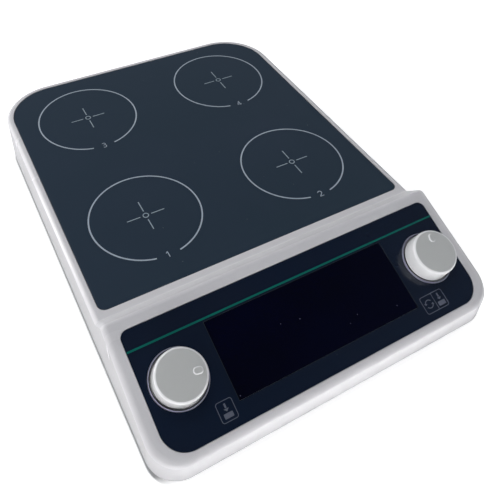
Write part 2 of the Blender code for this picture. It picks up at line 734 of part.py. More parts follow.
def add_housing_bosses(housing):
    """Screw bosses down to the pan's cups, and posts down to the control board."""
    low = CUP_TOP + SEAT
    for i, (x, y) in enumerate(CASE_SCREW_PLACES):
        under_panel = y < CREST_Y
        core = side_view(DECK_CEILING, WALL, PANEL_CEILING)
        high = top_height(core, y + BOSS_RADIUS if under_panel else y) + FLOOR / 2
        join(housing, cutter(f"screw_boss_{i + 1}", cylinders(BOSS_RADIUS, low, high, [(x, y)])))
    hole = cylinders(THREAD_HOLE, low - CUT, HEAD_SEAT + CASE_SCREW_LENGTH + SEAT, CASE_SCREW_PLACES)
    cut(housing, cutter("screw_holes", hole))
    post_top = FLOOR / 2 - PANEL_CEILING
    posts = cylinders(BOARD_POST_RADIUS, BOARD_TOP + SEAT, post_top, control_post_places())
    join(housing, cutter("control_board_posts", posts, PANEL))


def add_rear_pocket(housing):
    """A recess for the inlet and the switch, whose walls stand inside the rear wall."""
    x, y = POCKET_WIDTH / 2, POCKET_HEIGHT / 2
    across, up = x + POCKET_WALL, y + POCKET_WALL
    block = box((-across, across), (-up, up), (-WALL, POCKET_BLOCK))
    join(housing, cutter("pocket_block", block, REAR))
    recess = rounded_rectangle((-x, x), (-y, y), POCKET_CORNER, POCKET_CORNER)
    cut(
        housing,
        cutter("pocket_recess", prism(recess, 0, POCKET_DEPTH + CUT), REAR),
        cutter("switch_hole", box(*switch_body(SEAT), (-WALL - CUT, CUT)), REAR),
        cutter("jack_hole", cylinders(JACK_BODY_RADIUS + SEAT, -WALL - CUT, CUT, [(JACK_OFFSET, 0)]), REAR),
    )


def switch_body(grow):
    """The switch behind its flange, as a pair of low and high across and a pair up."""
    across = SWITCH_WIDTH / 2 - SWITCH_BODY_INSET + grow
    up = SWITCH_HEIGHT / 2 - SWITCH_BODY_INSET + grow
    return (SWITCH_OFFSET - across, SWITCH_OFFSET + across), (-up, up)


def make_deck():
    plate = prism(deck_outline(0), POCKET_FLOOR + SEAT, DECK_HEIGHT - PANEL_SINK)
    bevel(part("deck_plate", plate, DARK_GLASS), DECK_EDGE_ROUND)


def make_panel():
    panel = part("control_panel", prism(panel_outline(0), PANEL_BACK, -PANEL_SINK), PANEL_FACE, PANEL)
    rings = cylinders(RING_OUTER + SEAT, PANEL_BACK - CUT, CUT, [(-KNOB_X, 0), (KNOB_X, 0)], ROUND_STEPS)
    cut(
        panel,
        cutter("ring_holes", rings, PANEL),
        cutter("window_opening", window_box(SEAT, PANEL_BACK - CUT, CUT), PANEL),
    )
    part("display_window", window_box(0, PANEL_BACK, -PANEL_SINK), CLEAR_WINDOW, PANEL)
    module = window_box(-WINDOW_LEDGE - DISPLAY_CLEARANCE, BOARD_TOP + SEAT, PANEL_BACK - SEAT)
    bevel(part("display_module", module, BLACK, PANEL), BOARD_CORNER / 4, 1)


def make_control_board():
    x = PANEL_HALF - CONTROL_BOARD_SIDE_EDGE
    y = PANEL_LENGTH / 2 - CONTROL_BOARD_END_EDGE
    outline = rounded_rectangle((-x, x), (-y, y), BOARD_CORNER, BOARD_CORNER)
    slab = prism(outline, BOARD_TOP - BOARD_THICKNESS, BOARD_TOP)
    board = part("control_board", slab, BOARD_GREEN, PANEL)
    back = BOARD_TOP - BOARD_THICKNESS / 2
    plug = box(
        (-SOCKET_WIDTH, SOCKET_WIDTH),
        (-SOCKET_LENGTH / 2, SOCKET_LENGTH / 2),
        (back - SOCKET_HEIGHT, back),
    )
    join(board, cutter("control_board_socket", plug, PANEL))


def knob_profile():
    """Outside from the crown to the skirt, then up inside, down the hub and up its bore."""
    skirt = -KNOB_SKIRT
    taper = (KNOB_TOP_RADIUS - KNOB_BASE_RADIUS) / (KNOB_HEIGHT + KNOB_SKIRT)
    shoulder = KNOB_HEIGHT - KNOB_EDGE_ROUND
    edge = arc(
        (KNOB_TOP_RADIUS - KNOB_EDGE_ROUND, shoulder), KNOB_EDGE_ROUND, math.pi / 2, 0, CORNER_STEPS
    )
    roof = KNOB_HEIGHT - KNOB_WALL
    inside = KNOB_BASE_RADIUS - KNOB_WALL
    bore = SHAFT_RADIUS + RUNNING
    return [
        (0, KNOB_HEIGHT + KNOB_CROWN),
        *edge,
        (KNOB_BASE_RADIUS, skirt),
        (inside, skirt),
        (inside + taper * (roof - skirt), roof),
        (HUB_RADIUS, roof),
        (HUB_RADIUS, HUB_LOW),
        (bore, HUB_LOW),
        (bore, SHAFT_TOP + SEAT),
        (0, SHAFT_TOP + SEAT),
    ]


def pointer_mark():
    """The oval pad on the knob that marks where it points."""
    bm = bmesh.new()
    bmesh.ops.create_uvsphere(bm, u_segments=SMALL_STEPS, v_segments=SMALL_STEPS // 2, radius=1)
    size = Matrix.Diagonal((POINTER_LENGTH / 2, POINTER_WIDTH / 2, POINTER_RISE, 1))
    bmesh.ops.transform(bm, matrix=size, verts=bm.verts)
    return finish_mesh(bm, "pointer_mark")


def make_knob(side, pointer):
    axis = KNOB_AXES[side]
    ring = [
        (RING_OUTER, KNOB_RING_RISE),
        (RING_OUTER, PANEL_BACK),
        (RING_INNER, PANEL_BACK),
        (RING_INNER, KNOB_RING_RISE),
    ]
    spin(part(f"knob_ring_{side}", turned(ring), RING_GREY, axis))
    knob = spin(part(f"knob_{side}", turned(knob_profile()), KNOB_WHITE, axis))
    knob.rotation_euler = (0, 0, pointer)
    x, y = POINTER_RADIUS * math.cos(pointer), POINTER_RADIUS * math.sin(pointer)
    pad = cutter(f"pointer_pad_{side}", pointer_mark(), axis, (x, y, KNOB_HEIGHT + KNOB_CROWN / 2))
    pad.rotation_euler = (0, 0, pointer)
    join(knob, pad)


def make_encoder(side):
    """Body and neck, nut, shaft, and the actuator that the shaft presses."""
    axis = KNOB_AXES[side]
    half = ENCODER_SIDE / 2
    case = box((-half, half), (-half, half), (BOARD_TOP + SEAT, ENCODER_TOP))
    body = bevel(part(f"encoder_{side}", case, BLACK, axis), ENCODER_EDGE, 1)
    neck = cylinders(NECK_RADIUS, ENCODER_TOP - ENCODER_HEIGHT / 2, NECK_RISE)
    join(body, cutter(f"encoder_neck_{side}", neck, axis))
    cut(body, cutter(f"encoder_bore_{side}", cylinders(SHAFT_RADIUS + RUNNING, BOARD_TOP - CUT, CUT), axis))
    thread = NECK_RADIUS + SEAT
    corner = (thread + NUT_WALL) / math.cos(math.pi / NUT_SIDES)
    nut = cylinders(corner, PANEL_BACK, PANEL_BACK + NUT_THICKNESS, steps=NUT_SIDES)
    nut = part(f"encoder_nut_{side}", nut, STEEL, axis)
    cut(nut, cutter(f"nut_bore_{side}", cylinders(thread, PANEL_BACK - CUT, CUT), axis))
    part(f"encoder_shaft_{side}", cylinders(SHAFT_RADIUS, SHAFT_LOW, SHAFT_TOP), STEEL, axis)
    actuator = cylinders(ACTUATOR_RADIUS, ACTUATOR_LOW, ACTUATOR_LOW + ACTUATOR_LENGTH)
    part(f"push_actuator_{side}", actuator, BLACK, axis)


def make_base_pan():
    """The bottom tray: a floor, a lip inside the housing's wall, posts, screw cups and foot recesses."""
    pan = part("base_pan", prism(plan_outline(PAN_INSET), FOOT_HEIGHT, PAN_TOP), PAN_GREY)
    bevel(pan, PAN_INSET, 1)
    lip_inset = WALL + LIP_CLEARANCE
    middle = FOOT_HEIGHT + PAN_THICKNESS / 2
    lip = prism(plan_outline(lip_inset), middle, PAN_TOP + LIP_HEIGHT)
    tray = prism(plan_outline(lip_inset + LIP_THICKNESS), PAN_TOP, PAN_TOP + LIP_HEIGHT + CUT)
    join(pan, cutter("pan_lip", lip))
    cut(pan, cutter("pan_tray", tray))
    board_posts = cylinders(BOARD_POST_RADIUS, middle, MAIN_BOARD_LOW - SEAT, MAIN_POST_PLACES)
    join(
        pan,
        cutter("screw_cups", cylinders(CUP_RADIUS, middle, CUP_TOP, CASE_SCREW_PLACES)),
        cutter("chassis_posts", cylinders(POST_RADIUS, middle, CHASSIS_LOW - SEAT, CHASSIS_SCREW_PLACES)),
        cutter("main_board_posts", board_posts),
    )
    heads = cylinders(HEAD_RADIUS + RUNNING, FOOT_HEIGHT - CUT, HEAD_SEAT, CASE_SCREW_PLACES)
    shanks = cylinders(THREAD_HOLE, FOOT_HEIGHT, CUP_TOP + CUT, CASE_SCREW_PLACES, SCREW_STEPS)
    low, high = CHASSIS_TOP - CHASSIS_SCREW_LENGTH, CHASSIS_LOW + CUT
    post_holes = cylinders(THREAD_HOLE, low, high, CHASSIS_SCREW_PLACES, SCREW_STEPS)
    recess_top = FOOT_HEIGHT + FOOT_RECESS
    feet = cylinders(FOOT_RADIUS + SEAT, 0, recess_top, FOOT_PLACES.values(), MIDDLE_STEPS)
    cut(
        pan,
        cutter("head_recesses", heads),
        cutter("shank_holes", shanks),
        cutter("post_holes", post_holes),
        cutter("foot_recesses", feet),
    )


def make_feet():
    low = FOOT_RADIUS - FOOT_TAPER
    top = FOOT_HEIGHT + FOOT_RECESS - SEAT
    edge = arc((low - FOOT_ROUND, FOOT_ROUND), FOOT_ROUND, 0, -math.pi / 2, 2)
    profile = [(0, top), (FOOT_RADIUS, top), (FOOT_RADIUS, FOOT_HEIGHT), *edge, (0, 0)]
    for name, (x, y) in FOOT_PLACES.items():
        spin(part(f"foot_{name}", turned(profile), RUBBER, place=(x, y, 0)), MIDDLE_STEPS)


def screw_profile(length):
    """A pan-head screw, pointing down, with its origin under the head."""
    return [
        (0, HEAD_HEIGHT),
        (HEAD_RADIUS - HEAD_HEIGHT / 2, HEAD_HEIGHT),
        (HEAD_RADIUS, HEAD_HEIGHT / 2),
        (HEAD_RADIUS, 0),
        (THREAD_RADIUS, 0),
        (THREAD_RADIUS, -length),
        (0, -length),
    ]


def make_screws():
    for i, (x, y) in enumerate(CASE_SCREW_PLACES):
        screw = part(f"case_screw_{i + 1}", turned(screw_profile(CASE_SCREW_LENGTH)), STEEL)
        spin(screw, SCREW_STEPS)
        screw.location = (x, y, HEAD_SEAT - SEAT)
        screw.rotation_euler = (math.pi, 0, 0)
    for i, (x, y) in enumerate(CHASSIS_SCREW_PLACES):
        screw = part(f"chassis_screw_{i + 1}", turned(screw_profile(CHASSIS_SCREW_LENGTH)), STEEL)
        spin(screw, SCREW_STEPS)
        screw.location = (x, y, CHASSIS_TOP + SEAT)


def make_chassis():
    """The steel plate over the pan's posts, with a hole for each motor's neck."""
    outline = rounded_rectangle(
        (-CHASSIS_HALF, CHASSIS_HALF), (CHASSIS_FRONT, CHASSIS_REAR), CHASSIS_CORNER, CHASSIS_CORNER
    )
    plate = part("chassis_plate", prism(outline, CHASSIS_LOW, CHASSIS_TOP), ZINC)
    low, high = CHASSIS_LOW - CUT, CHASSIS_TOP + CUT
    window_x = STATION_X - CHASSIS_WINDOW_SIDE
    window_y = (STATION_REAR - STATION_FRONT) / 2 - CHASSIS_WINDOW_SIDE
    window = rounded_rectangle(
        (-window_x, window_x),
        (STATION_MIDDLE - window_y, STATION_MIDDLE + window_y),
        CHASSIS_WINDOW_CORNER,
        CHASSIS_WINDOW_CORNER,
    )
    cut(
        plate,
        cutter("neck_clearance", cylinders(MOTOR_NECK_RADIUS + SEAT, low, high, STATIONS.values())),
        cutter("chassis_screw_holes", cylinders(THREAD_HOLE, low, high, CHASSIS_SCREW_PLACES)),
        cutter("chassis_window", prism(window, low, high)),
    )


def motor_profile():
    bore = MOTOR_SHAFT_RADIUS + RUNNING
    return [
        (0, MOTOR_SHAFT_LOW - SEAT),
        (bore, MOTOR_SHAFT_LOW - SEAT),
        (bore, CHASSIS_TOP + MOTOR_NECK_RISE),
        (MOTOR_NECK_RADIUS, CHASSIS_TOP + MOTOR_NECK_RISE),
        (MOTOR_NECK_RADIUS, MOTOR_TOP),
        (MOTOR_RADIUS - MOTOR_EDGE, MOTOR_TOP),
        (MOTOR_RADIUS, MOTOR_TOP - MOTOR_EDGE),
        (MOTOR_RADIUS, MOTOR_LOW + MOTOR_EDGE),
        (MOTOR_RADIUS - MOTOR_EDGE, MOTOR_LOW),
        (0, MOTOR_LOW),
    ]


def rotor_profile():
    bore = MOTOR_SHAFT_RADIUS + SEAT
    bore_top = ROTOR_LOW + ROTOR_THICKNESS / 2
    return [
        (0, ROTOR_TOP),
        (ROTOR_RADIUS - ROTOR_EDGE, ROTOR_TOP),
        (ROTOR_RADIUS, ROTOR_TOP - ROTOR_EDGE),
        (ROTOR_RADIUS, ROTOR_LOW),
        (ROTOR_HUB_RADIUS, ROTOR_LOW),
        (ROTOR_HUB_RADIUS, HUB_BOTTOM),
        (bore, HUB_BOTTOM),
        (bore, bore_top),
        (0, bore_top),
    ]


def make_station(number):
    """A motor under the chassis plate, and on its shaft a carrier with two magnets."""
    axis = AXES[number]
    spin(part(f"motor_{number}", turned(motor_profile()), ZINC, axis), MIDDLE_STEPS)
    shaft_top = ROTOR_LOW + ROTOR_THICKNESS / 2 - SEAT
    shaft = cylinders(MOTOR_SHAFT_RADIUS, MOTOR_SHAFT_LOW, shaft_top)
    part(f"motor_shaft_{number}", shaft, STEEL, axis)
    rotor = spin(part(f"rotor_{number}", turned(rotor_profile()), CARRIER, axis), MIDDLE_STEPS)
    pocket_low = ROTOR_TOP - MAGNET_THICKNESS - SEAT
    offsets = {"a": -MAGNET_SPACING / 2, "b": MAGNET_SPACING / 2}
    places = [(x, 0) for x in offsets.values()]
    pockets = cylinders(MAGNET_RADIUS + SEAT, pocket_low, ROTOR_TOP + CUT, places)
    cut(rotor, cutter(f"magnet_pockets_{number}", pockets, axis))
    for letter, x in offsets.items():
        magnet = cylinders(MAGNET_RADIUS, pocket_low + SEAT, ROTOR_TOP, [(x, 0)])
        part(f"magnet_{number}{letter}", magnet, NICKEL, axis)


def make_main_board():
    """The supply and driver board on the pan, with its tall components."""
    x, y = MAIN_BOARD_WIDTH / 2, MAIN_BOARD_LENGTH / 2
    outline = rounded_rectangle((-x, x), (MAIN_BOARD_Y - y, MAIN_BOARD_Y + y), BOARD_CORNER, BOARD_CORNER)
    top = MAIN_BOARD_LOW + BOARD_THICKNESS
    inside = MAIN_BOARD_LOW + BOARD_THICKNESS / 2
    board = part("main_board", prism(outline, MAIN_BOARD_LOW, top), BOARD_GREEN)
    half = COIL_SIDE / 2
    coil = box((-half, half), (-half, half), (inside, top + COIL_HEIGHT))
    join(board, cutter("driver_coil", coil, place=(-COIL_OFFSET, MAIN_BOARD_Y, 0)))
    row = [(i * ROW_PITCH, MAIN_BOARD_Y + ROW_OFFSET) for i in range(len(STATIONS))]
    join(board, cutter("capacitors", cylinders(CAPACITOR_RADIUS, inside, top + CAPACITOR_HEIGHT, row)))
    for i in range(len(STATIONS)):
        socket = box(
            (-SOCKET_WIDTH / 2, SOCKET_WIDTH / 2),
            (-SOCKET_LENGTH / 2, SOCKET_LENGTH / 2),
            (inside, top + SOCKET_HEIGHT),
        )
        place = (i * ROW_PITCH, MAIN_BOARD_Y - ROW_OFFSET, 0)
        join(board, cutter(f"motor_socket_{i + 1}", socket, place=place))


def make_switch():
    """A rocker switch in the rear pocket: flange and body, and the rocker at its off stop."""
    x, y = switch_body(0)
    case = box(x, y, (-SWITCH_BODY_DEPTH, SEAT + SWITCH_FLANGE / 2))
    body = part("power_switch_frame", case, BLACK, REAR)
    across, up = SWITCH_WIDTH / 2, SWITCH_HEIGHT / 2
    outline = rounded_rectangle(
        (SWITCH_OFFSET - across, SWITCH_OFFSET + across), (-up, up), SWITCH_BODY_INSET, SWITCH_BODY_INSET
    )
    join(body, cutter("switch_flange", prism(outline, SEAT, SWITCH_FACE), REAR))
    half = ROCKER_WIDTH / 2
    mouth = half + ROCKER_SWING_GAP
    sides = ROCKER_HEIGHT / 2 + RUNNING
    swing = half * math.sin(ROCKER_THROW / 2)
    floor = SWITCH_FACE - ROCKER_PIVOT_SINK - ROCKER_DEPTH - ROCKER_SWING_GAP - swing
    hollow = box(
        (SWITCH_OFFSET - mouth, SWITCH_OFFSET + mouth),
        (-sides, sides),
        (floor, SWITCH_FACE + CUT),
    )
    cut(body, cutter("rocker_opening", hollow, REAR))
    pivot = empty("rocker_pivot", (SWITCH_OFFSET, 0, SWITCH_FACE - ROCKER_PIVOT_SINK))
    pivot.parent = REAR
    pivot.rotation_euler = (0, ROCKER_THROW / 2, 0)
    foot = half - ROCKER_FOOT_INSET
    side = [
        (-foot, -ROCKER_DEPTH),
        (foot, -ROCKER_DEPTH),
        (half, ROCKER_RISE),
        (0, ROCKER_RISE - ROCKER_VALLEY),
        (-half, ROCKER_RISE),
    ]
    rocker = part("power_rocker", prism(side, -ROCKER_HEIGHT / 2, ROCKER_HEIGHT / 2), BLACK, pivot)
    rocker.rotation_euler = (math.pi / 2, 0, 0)


def jack_profile():
    """The inlet from its pin's tip, down the socket, over the flange and down the body."""
    return [
        (0, -JACK_PIN_SINK),
        (JACK_PIN_RADIUS, -JACK_PIN_SINK),
        (JACK_PIN_RADIUS, -JACK_BORE_DEPTH),
        (JACK_BORE_RADIUS, -JACK_BORE_DEPTH),
        (JACK_BORE_RADIUS, SEAT + JACK_FLANGE),
        (JACK_FLANGE_RADIUS, SEAT + JACK_FLANGE),
        (JACK_FLANGE_RADIUS, SEAT),
        (JACK_BODY_RADIUS, SEAT),
        (JACK_BODY_RADIUS, -JACK_LENGTH),
        (0, -JACK_LENGTH),
    ]


make_housing()
make_deck()
make_panel()
make_control_board()
make_knob("left", LEFT_POINTER)
make_knob("right", RIGHT_POINTER)
make_encoder("left")
make_encoder("right")
make_base_pan()
make_feet()
make_screws()
make_chassis()
for station in STATIONS:
    make_station(station)
make_main_board()
make_switch()
spin(part("dc_jack", turned(jack_profile()), BLACK, REAR, (JACK_OFFSET, 0, 0)), MIDDLE_STEPS)
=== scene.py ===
"""A four-station magnetic stirrer, dressed over its CAD frame.

Metres, +Z up. +X is to the right of someone who stands in front of the controls, and +Y is to the back.
The fine housing, glass, panel, knobs and rings stand for CAD solids of the same size and place.
"""

import json
from math import acos, atan, atan2, cos, pi, radians, sin, tan

import bmesh
import bpy
import numpy as np
from mathutils import Matrix, Vector


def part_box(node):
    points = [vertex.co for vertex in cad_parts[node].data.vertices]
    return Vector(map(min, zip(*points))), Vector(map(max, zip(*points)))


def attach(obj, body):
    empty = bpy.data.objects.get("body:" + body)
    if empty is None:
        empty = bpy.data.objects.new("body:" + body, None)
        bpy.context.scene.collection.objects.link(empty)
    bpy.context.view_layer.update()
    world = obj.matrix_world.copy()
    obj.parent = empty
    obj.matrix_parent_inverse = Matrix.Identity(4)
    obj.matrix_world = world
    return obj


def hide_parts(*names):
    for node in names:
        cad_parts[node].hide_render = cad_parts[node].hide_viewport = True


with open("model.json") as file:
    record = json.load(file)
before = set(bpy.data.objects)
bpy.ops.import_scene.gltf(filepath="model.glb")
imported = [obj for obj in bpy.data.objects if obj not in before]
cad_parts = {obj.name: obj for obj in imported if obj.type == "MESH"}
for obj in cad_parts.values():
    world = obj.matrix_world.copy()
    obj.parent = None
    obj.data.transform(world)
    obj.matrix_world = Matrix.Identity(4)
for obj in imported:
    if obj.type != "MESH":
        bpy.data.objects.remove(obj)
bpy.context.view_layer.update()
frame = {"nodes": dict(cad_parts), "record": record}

# Sizes of the CAD model
SEAT = 0.0003
DECK_WIDTH, DECK_LENGTH, DECK_THICKNESS = 0.2645, 0.2707, 0.004
DECK_REAR_RADIUS, DECK_FRONT_RADIUS = 0.0412, 0.006
DECK_HEIGHT, DECK_RIM = 0.0455, 0.006
FRONT_RADIUS, FRONT_RIM = 0.0225, 0.0054
DECK_FILLET, PANEL_FILLET, FRONT_FILLET, INNER_FILLET = 0.0045, 0.0053, 0.0086, 0.004
SHOULDER_TURN = radians(22)  # how far the top's round stops short of the wall
RAMP_LAND, RAMP_RISE, RAMP_ANGLE = 0.0063, 0.0148, radians(47)
RAMP_FOOT_RADIUS, CREST_RADIUS, CREST_LAND = 0.003, 0.004, 0.0086
PANEL_TILT, DRAFT = radians(20), radians(2.6)
WALL, FLOOR = 0.0025, 0.0025
PANEL_LENGTH, PANEL_SIDE_RIM, PANEL_THICKNESS, PANEL_SINK = 0.0842, 0.0097, 0.0015, 0.0002
PANEL_REAR_RADIUS, PANEL_FRONT_RADIUS = 0.0056, 0.0172
WINDOW_REAR_EDGE, WINDOW_LENGTH, WINDOW_TO_RING, WINDOW_LEDGE = 0.0163, 0.0545, 0.0098, 0.002
KNOB_SIDE_EDGE, KNOB_BASE_RADIUS, KNOB_TOP_RADIUS, KNOB_HEIGHT = 0.0242, 0.0182, 0.0174, 0.014
KNOB_SKIRT, KNOB_CROWN, KNOB_WALL, KNOB_HUB_WALL = 0.0011, 0.0003, 0.002, 0.0032
KNOB_RING_GAP, KNOB_RING_WALL, KNOB_RING_RISE, KNOB_TRAVEL = 0.0007, 0.0011, 0.0006, 0.0005
SHAFT_RADIUS, SHAFT_IN_KNOB, NECK_WALL, NECK_RISE = 0.003, 0.009, 0.0012, 0.001
STATION_EDGE, STATION_FRONT_EDGE = 0.0628, 0.0686
HOUSING_BOTTOM = 0.0073
POCKET_X, POCKET_Z, POCKET_WIDTH, POCKET_HEIGHT, POCKET_DEPTH = 0.045, 0.0235, 0.05, 0.02, 0.006
POCKET_CORNER, POCKET_WALL, POCKET_BLOCK_SINK = 0.003, 0.002, 1.5 * WALL
SWITCH_OFFSET, SWITCH_WIDTH, SWITCH_HEIGHT, SWITCH_INSET, SWITCH_FLANGE = 0.0115, 0.021, 0.015, 0.0012, 0.0018
ROCKER_THROW, ROCKER_WIDTH, ROCKER_RISE = radians(14), 0.0142, 0.003
ROCKER_VALLEY, ROCKER_PIVOT_SINK = 0.0009, 0.001
JACK_OFFSET, JACK_BODY_RADIUS, JACK_FLANGE_RADIUS, JACK_FLANGE = -0.014, 0.0042, 0.006, 0.0015
JACK_BORE_RADIUS, JACK_BORE_DEPTH, JACK_PIN_RADIUS = 0.0032, 0.0095, 0.001
JACK_PIN_SINK, JACK_LENGTH = 0.0005, 0.011
FOOT_RADIUS, FOOT_TAPER, FOOT_ROUND = 0.01, 0.0012, 0.0012
HEAD_RADIUS, HEAD_HEIGHT, THREAD_RADIUS, SCREW_LENGTH = 0.003, 0.002, 0.0015, 0.012

# Finer forms than the CAD model's
LIP_ROUND, GLASS_ROUND, PANEL_ROUND, NODE_ROUND = 0.00025, 0.0006, 0.0002, 0.0004
WINDOW_GAP = 0.00008
KNOB_EDGE_ROUND, KNOB_ROLL = 0.0021, 0.0004
POINTER_RADIUS, POINTER_LENGTH, POINTER_WIDTH, POINTER_RISE = 0.0106, 0.0057, 0.0038, 0.001
POINTER_SLOPE, POINTER_ROUND = 0.0007, 0.0002
POINTERS = {"left": radians(-11), "right": radians(72)}
SOLE_HOLLOW, HOLLOW_FLAT, HOLLOW_EDGE, FOOT_SHOULDER = 0.0005, 0.55, 0.6, 0.001
HEAD_ROUND, SCREW_POINT, SCREW_TURN = 0.0011, 0.001, 0.7
SLOT_REACH, SLOT_HALF, SLOT_DEPTH = 0.0016, 0.0003, 0.0011
JACK_RIM_ROUND, JACK_LEAD_ROUND, JACK_PIN_ROUND = 0.0006, 0.0004, 0.0005
SLEEVE_WALL, SLEEVE_GAP, SLEEVE_SINK = 0.0003, 0.00002, 0.0022
REAR_STEPS, FRONT_STEPS, FILLET_STEPS, ARC_STEPS, ROUND_STEPS = 20, 14, 8, 7, 96

# Cuts, and how close points are made one
CUT, NECK_CUT, HOLE_CUT, SLOT_CUT = 0.01, 0.005, 0.002, 0.001  # how far cutters run past what they cut
MERGE, MIRROR_MERGE, NODE_MERGE = 0.000001, 0.00001, 0.00002

# Printing on the glass
RING_RADIUS, RING_LINE, RING_GAP = 0.045, 0.0012, radians(12.4)
CROSS_IN, CROSS_OUT, CROSS_LINE = 0.0047, 0.016, 0.0008
CENTRE_RADIUS, CENTRE_LINE = 0.0022, 0.00075
DIGIT_HEIGHT, DIGIT_LINE, DIGIT_SHIFT = 0.0056, 0.00068, 0.001
PRINT_LIFT = 0.00004

# Printing on the panel and on the rocker, each in its own frame
STRIPE_Y, STRIPE_WIDTH = 0.0281, 0.00135
# EDGE_LINE is the width of the painted highlight round the display window's gap.
BOX_LINE, BOX_CORNER, EDGE_LINE = 0.00045, 0.0016, 0.0004
BOX_LOW, BOX_HIGH = -0.0368, -0.024
LEFT_BOX, RIGHT_BOX, BOX_DIVIDER = (-0.0905, -0.0792), (0.079, 0.0994), 0.0898
KEY_PAD, KEY_HALF, KEY_HEIGHT, KEY_CORNER = 0.0018, 0.0032, 0.0032, 0.0005
ARROW_HALF, ARROW_GAP = 0.0018, 0.0004
TURN_RADIUS, TURN_SWEEP, TURN_ARROW = 0.0029, radians(125), 0.0013
ROCKER_LINE, ROCKER_LINE_HALF, ROCKER_RING, ROCKER_LIFT = 0.0004, 0.0014, 0.0012, 0.00005

# The floor, and the white that it shows the camera and glossy faces, by the distance from the body
FLOOR_RADIUS, WASH_GAP = 12, 0.005
# FRONT_LIFT is painted light: the floor's glow in front of the body is raised to it, which washes the
# object's shadow out there.
FLOOR_LIFT, FRONT_LIFT, GLOSS_LIFT = 0.68, 0.86, 0.03
LIFT_NEAR, LIFT_FAR, FRONT_DEPTH = 0.02, 0.25, 0.06
# The CONTACT sizes draw painted shade: a thin line at the foot of the side and rear walls where the floor
# doesn't glow, a dark contact line.
CONTACT_NEAR, CONTACT_FAR = 0.0002, 0.0011
CONTACT_FRONT, CONTACT_FULL = 0.004, 0.014

# The room's colour, from the horizon at 0 to straight up at 1
SKY = {0.0: (0.13, 0.13, 0.13), 0.25: (0.11, 0.11, 0.12), 0.6: (0.17, 0.19, 0.23), 0.85: (0.05, 0.055, 0.07)}

# Other parts of the look
WASH_BLEND, WASH_BULB, WASH_SCALE = 0.1, 0.004, (3, 1, 1)
DUST_DULLNESS = 0.3  # added to the roughness where dust lies

# Worked out
DECK_DRAFT = (DECK_HEIGHT - HOUSING_BOTTOM) * tan(DRAFT)
CREST_HEIGHT = DECK_HEIGHT + RAMP_RISE
RAMP_RUN = RAMP_RISE / tan(RAMP_ANGLE)
SLOPE = CREST_LAND + PANEL_LENGTH
FRONT_TOP = CREST_HEIGHT - SLOPE * sin(PANEL_TILT)
FRONT_DRAFT = (FRONT_TOP - HOUSING_BOTTOM) * tan(DRAFT)
REAR_TO_CREST = DECK_DRAFT + DECK_RIM + DECK_LENGTH + RAMP_LAND + RAMP_RUN
BODY_REAR = (REAR_TO_CREST + SLOPE * cos(PANEL_TILT) + FRONT_RIM + FRONT_DRAFT) / 2
BODY_FRONT = -BODY_REAR
BODY_HALF = DECK_WIDTH / 2 + DECK_RIM + DECK_DRAFT
BODY_REAR_RADIUS = DECK_REAR_RADIUS + DECK_RIM + DECK_DRAFT
DECK_REAR = BODY_REAR - DECK_DRAFT - DECK_RIM
DECK_FRONT = DECK_REAR - DECK_LENGTH
DECK_TOP = DECK_HEIGHT - PANEL_SINK
CREST_Y = BODY_REAR - REAR_TO_CREST
FOOT_Y = CREST_Y + RAMP_RUN
POCKET_FLOOR = DECK_HEIGHT - DECK_THICKNESS - SEAT - PANEL_SINK
PANEL_BACK = -PANEL_SINK - PANEL_THICKNESS
PANEL_CEILING = -PANEL_BACK + SEAT + FLOOR
PANEL_HALF = DECK_WIDTH / 2 + DECK_RIM - PANEL_SIDE_RIM
KNOB_X = PANEL_HALF - KNOB_SIDE_EDGE
KNOB_PLACES = [(-KNOB_X, 0), (KNOB_X, 0)]
RING_INNER = KNOB_BASE_RADIUS + KNOB_RING_GAP
RING_OUTER = RING_INNER + KNOB_RING_WALL
WINDOW_HALF = KNOB_X - RING_OUTER - WINDOW_TO_RING
WINDOW_Y = PANEL_LENGTH / 2 - WINDOW_REAR_EDGE - WINDOW_LENGTH / 2
STATION_X = DECK_WIDTH / 2 - STATION_EDGE
STATION_ROWS = DECK_FRONT + STATION_FRONT_EDGE, DECK_REAR - STATION_EDGE
STATIONS = [(x, y) for y in STATION_ROWS for x in (-STATION_X, STATION_X)]
MIDDLE_OF_SLOPE = CREST_LAND + PANEL_LENGTH / 2
PANEL_Y = CREST_Y - MIDDLE_OF_SLOPE * cos(PANEL_TILT)
PANEL_Z = CREST_HEIGHT - MIDDLE_OF_SLOPE * sin(PANEL_TILT)


# Places
def at(x, y, z):
    return Matrix.Translation((x, y, z))


def turned_by(angle, axis):
    return Matrix.Rotation(angle, 4, axis)


PANEL = at(0, PANEL_Y, PANEL_Z) @ turned_by(PANEL_TILT, "X")
REAR_TURN = turned_by(pi, "Z") @ turned_by(pi / 2, "X")
REAR = at(POCKET_X, BODY_REAR - POCKET_DEPTH, POCKET_Z) @ REAR_TURN
UPRIGHT = Matrix.Identity(4)


def add_object(name, data, place=UPRIGHT):
    obj = bpy.data.objects.new(name, data)
    bpy.context.scene.collection.objects.link(obj)
    obj.matrix_world = place
    return obj


# Camera, at the photograph's viewing angle
camera = add_object("camera", bpy.data.cameras.new("camera"))
camera.location = (-0.170291, -0.317938, 0.396299)
camera.rotation_euler = [radians(turn) for turn in (45.9238, -1.7277, -28.8441)]
camera.data.sensor_width = 36
camera.data.lens = 42.344
camera.data.shift_x = 0.03545
camera.data.shift_y = -0.14867
camera.data.clip_start = 0.01
bpy.context.scene.camera = camera
bpy.context.scene.view_settings.view_transform = "Standard"


# Shader tools
def set_up(tree, made, node, settings):
    """Sets a node's settings and sockets. A text such as "cloud.Fac" on a socket links it to that output
    of the node of that name in made."""
    for key, value in settings.items():
        if isinstance(key, str) and hasattr(node, key):
            setattr(node, key, value)
        elif isinstance(value, bpy.types.NodeSocket):
            tree.links.new(value, node.inputs[key])
        elif isinstance(value, str):
            source, socket = value.split(".")
            socket = int(socket) if socket.isdigit() else socket
            tree.links.new(made[source].outputs[socket], node.inputs[key])
        else:
            node.inputs[key].default_value = value


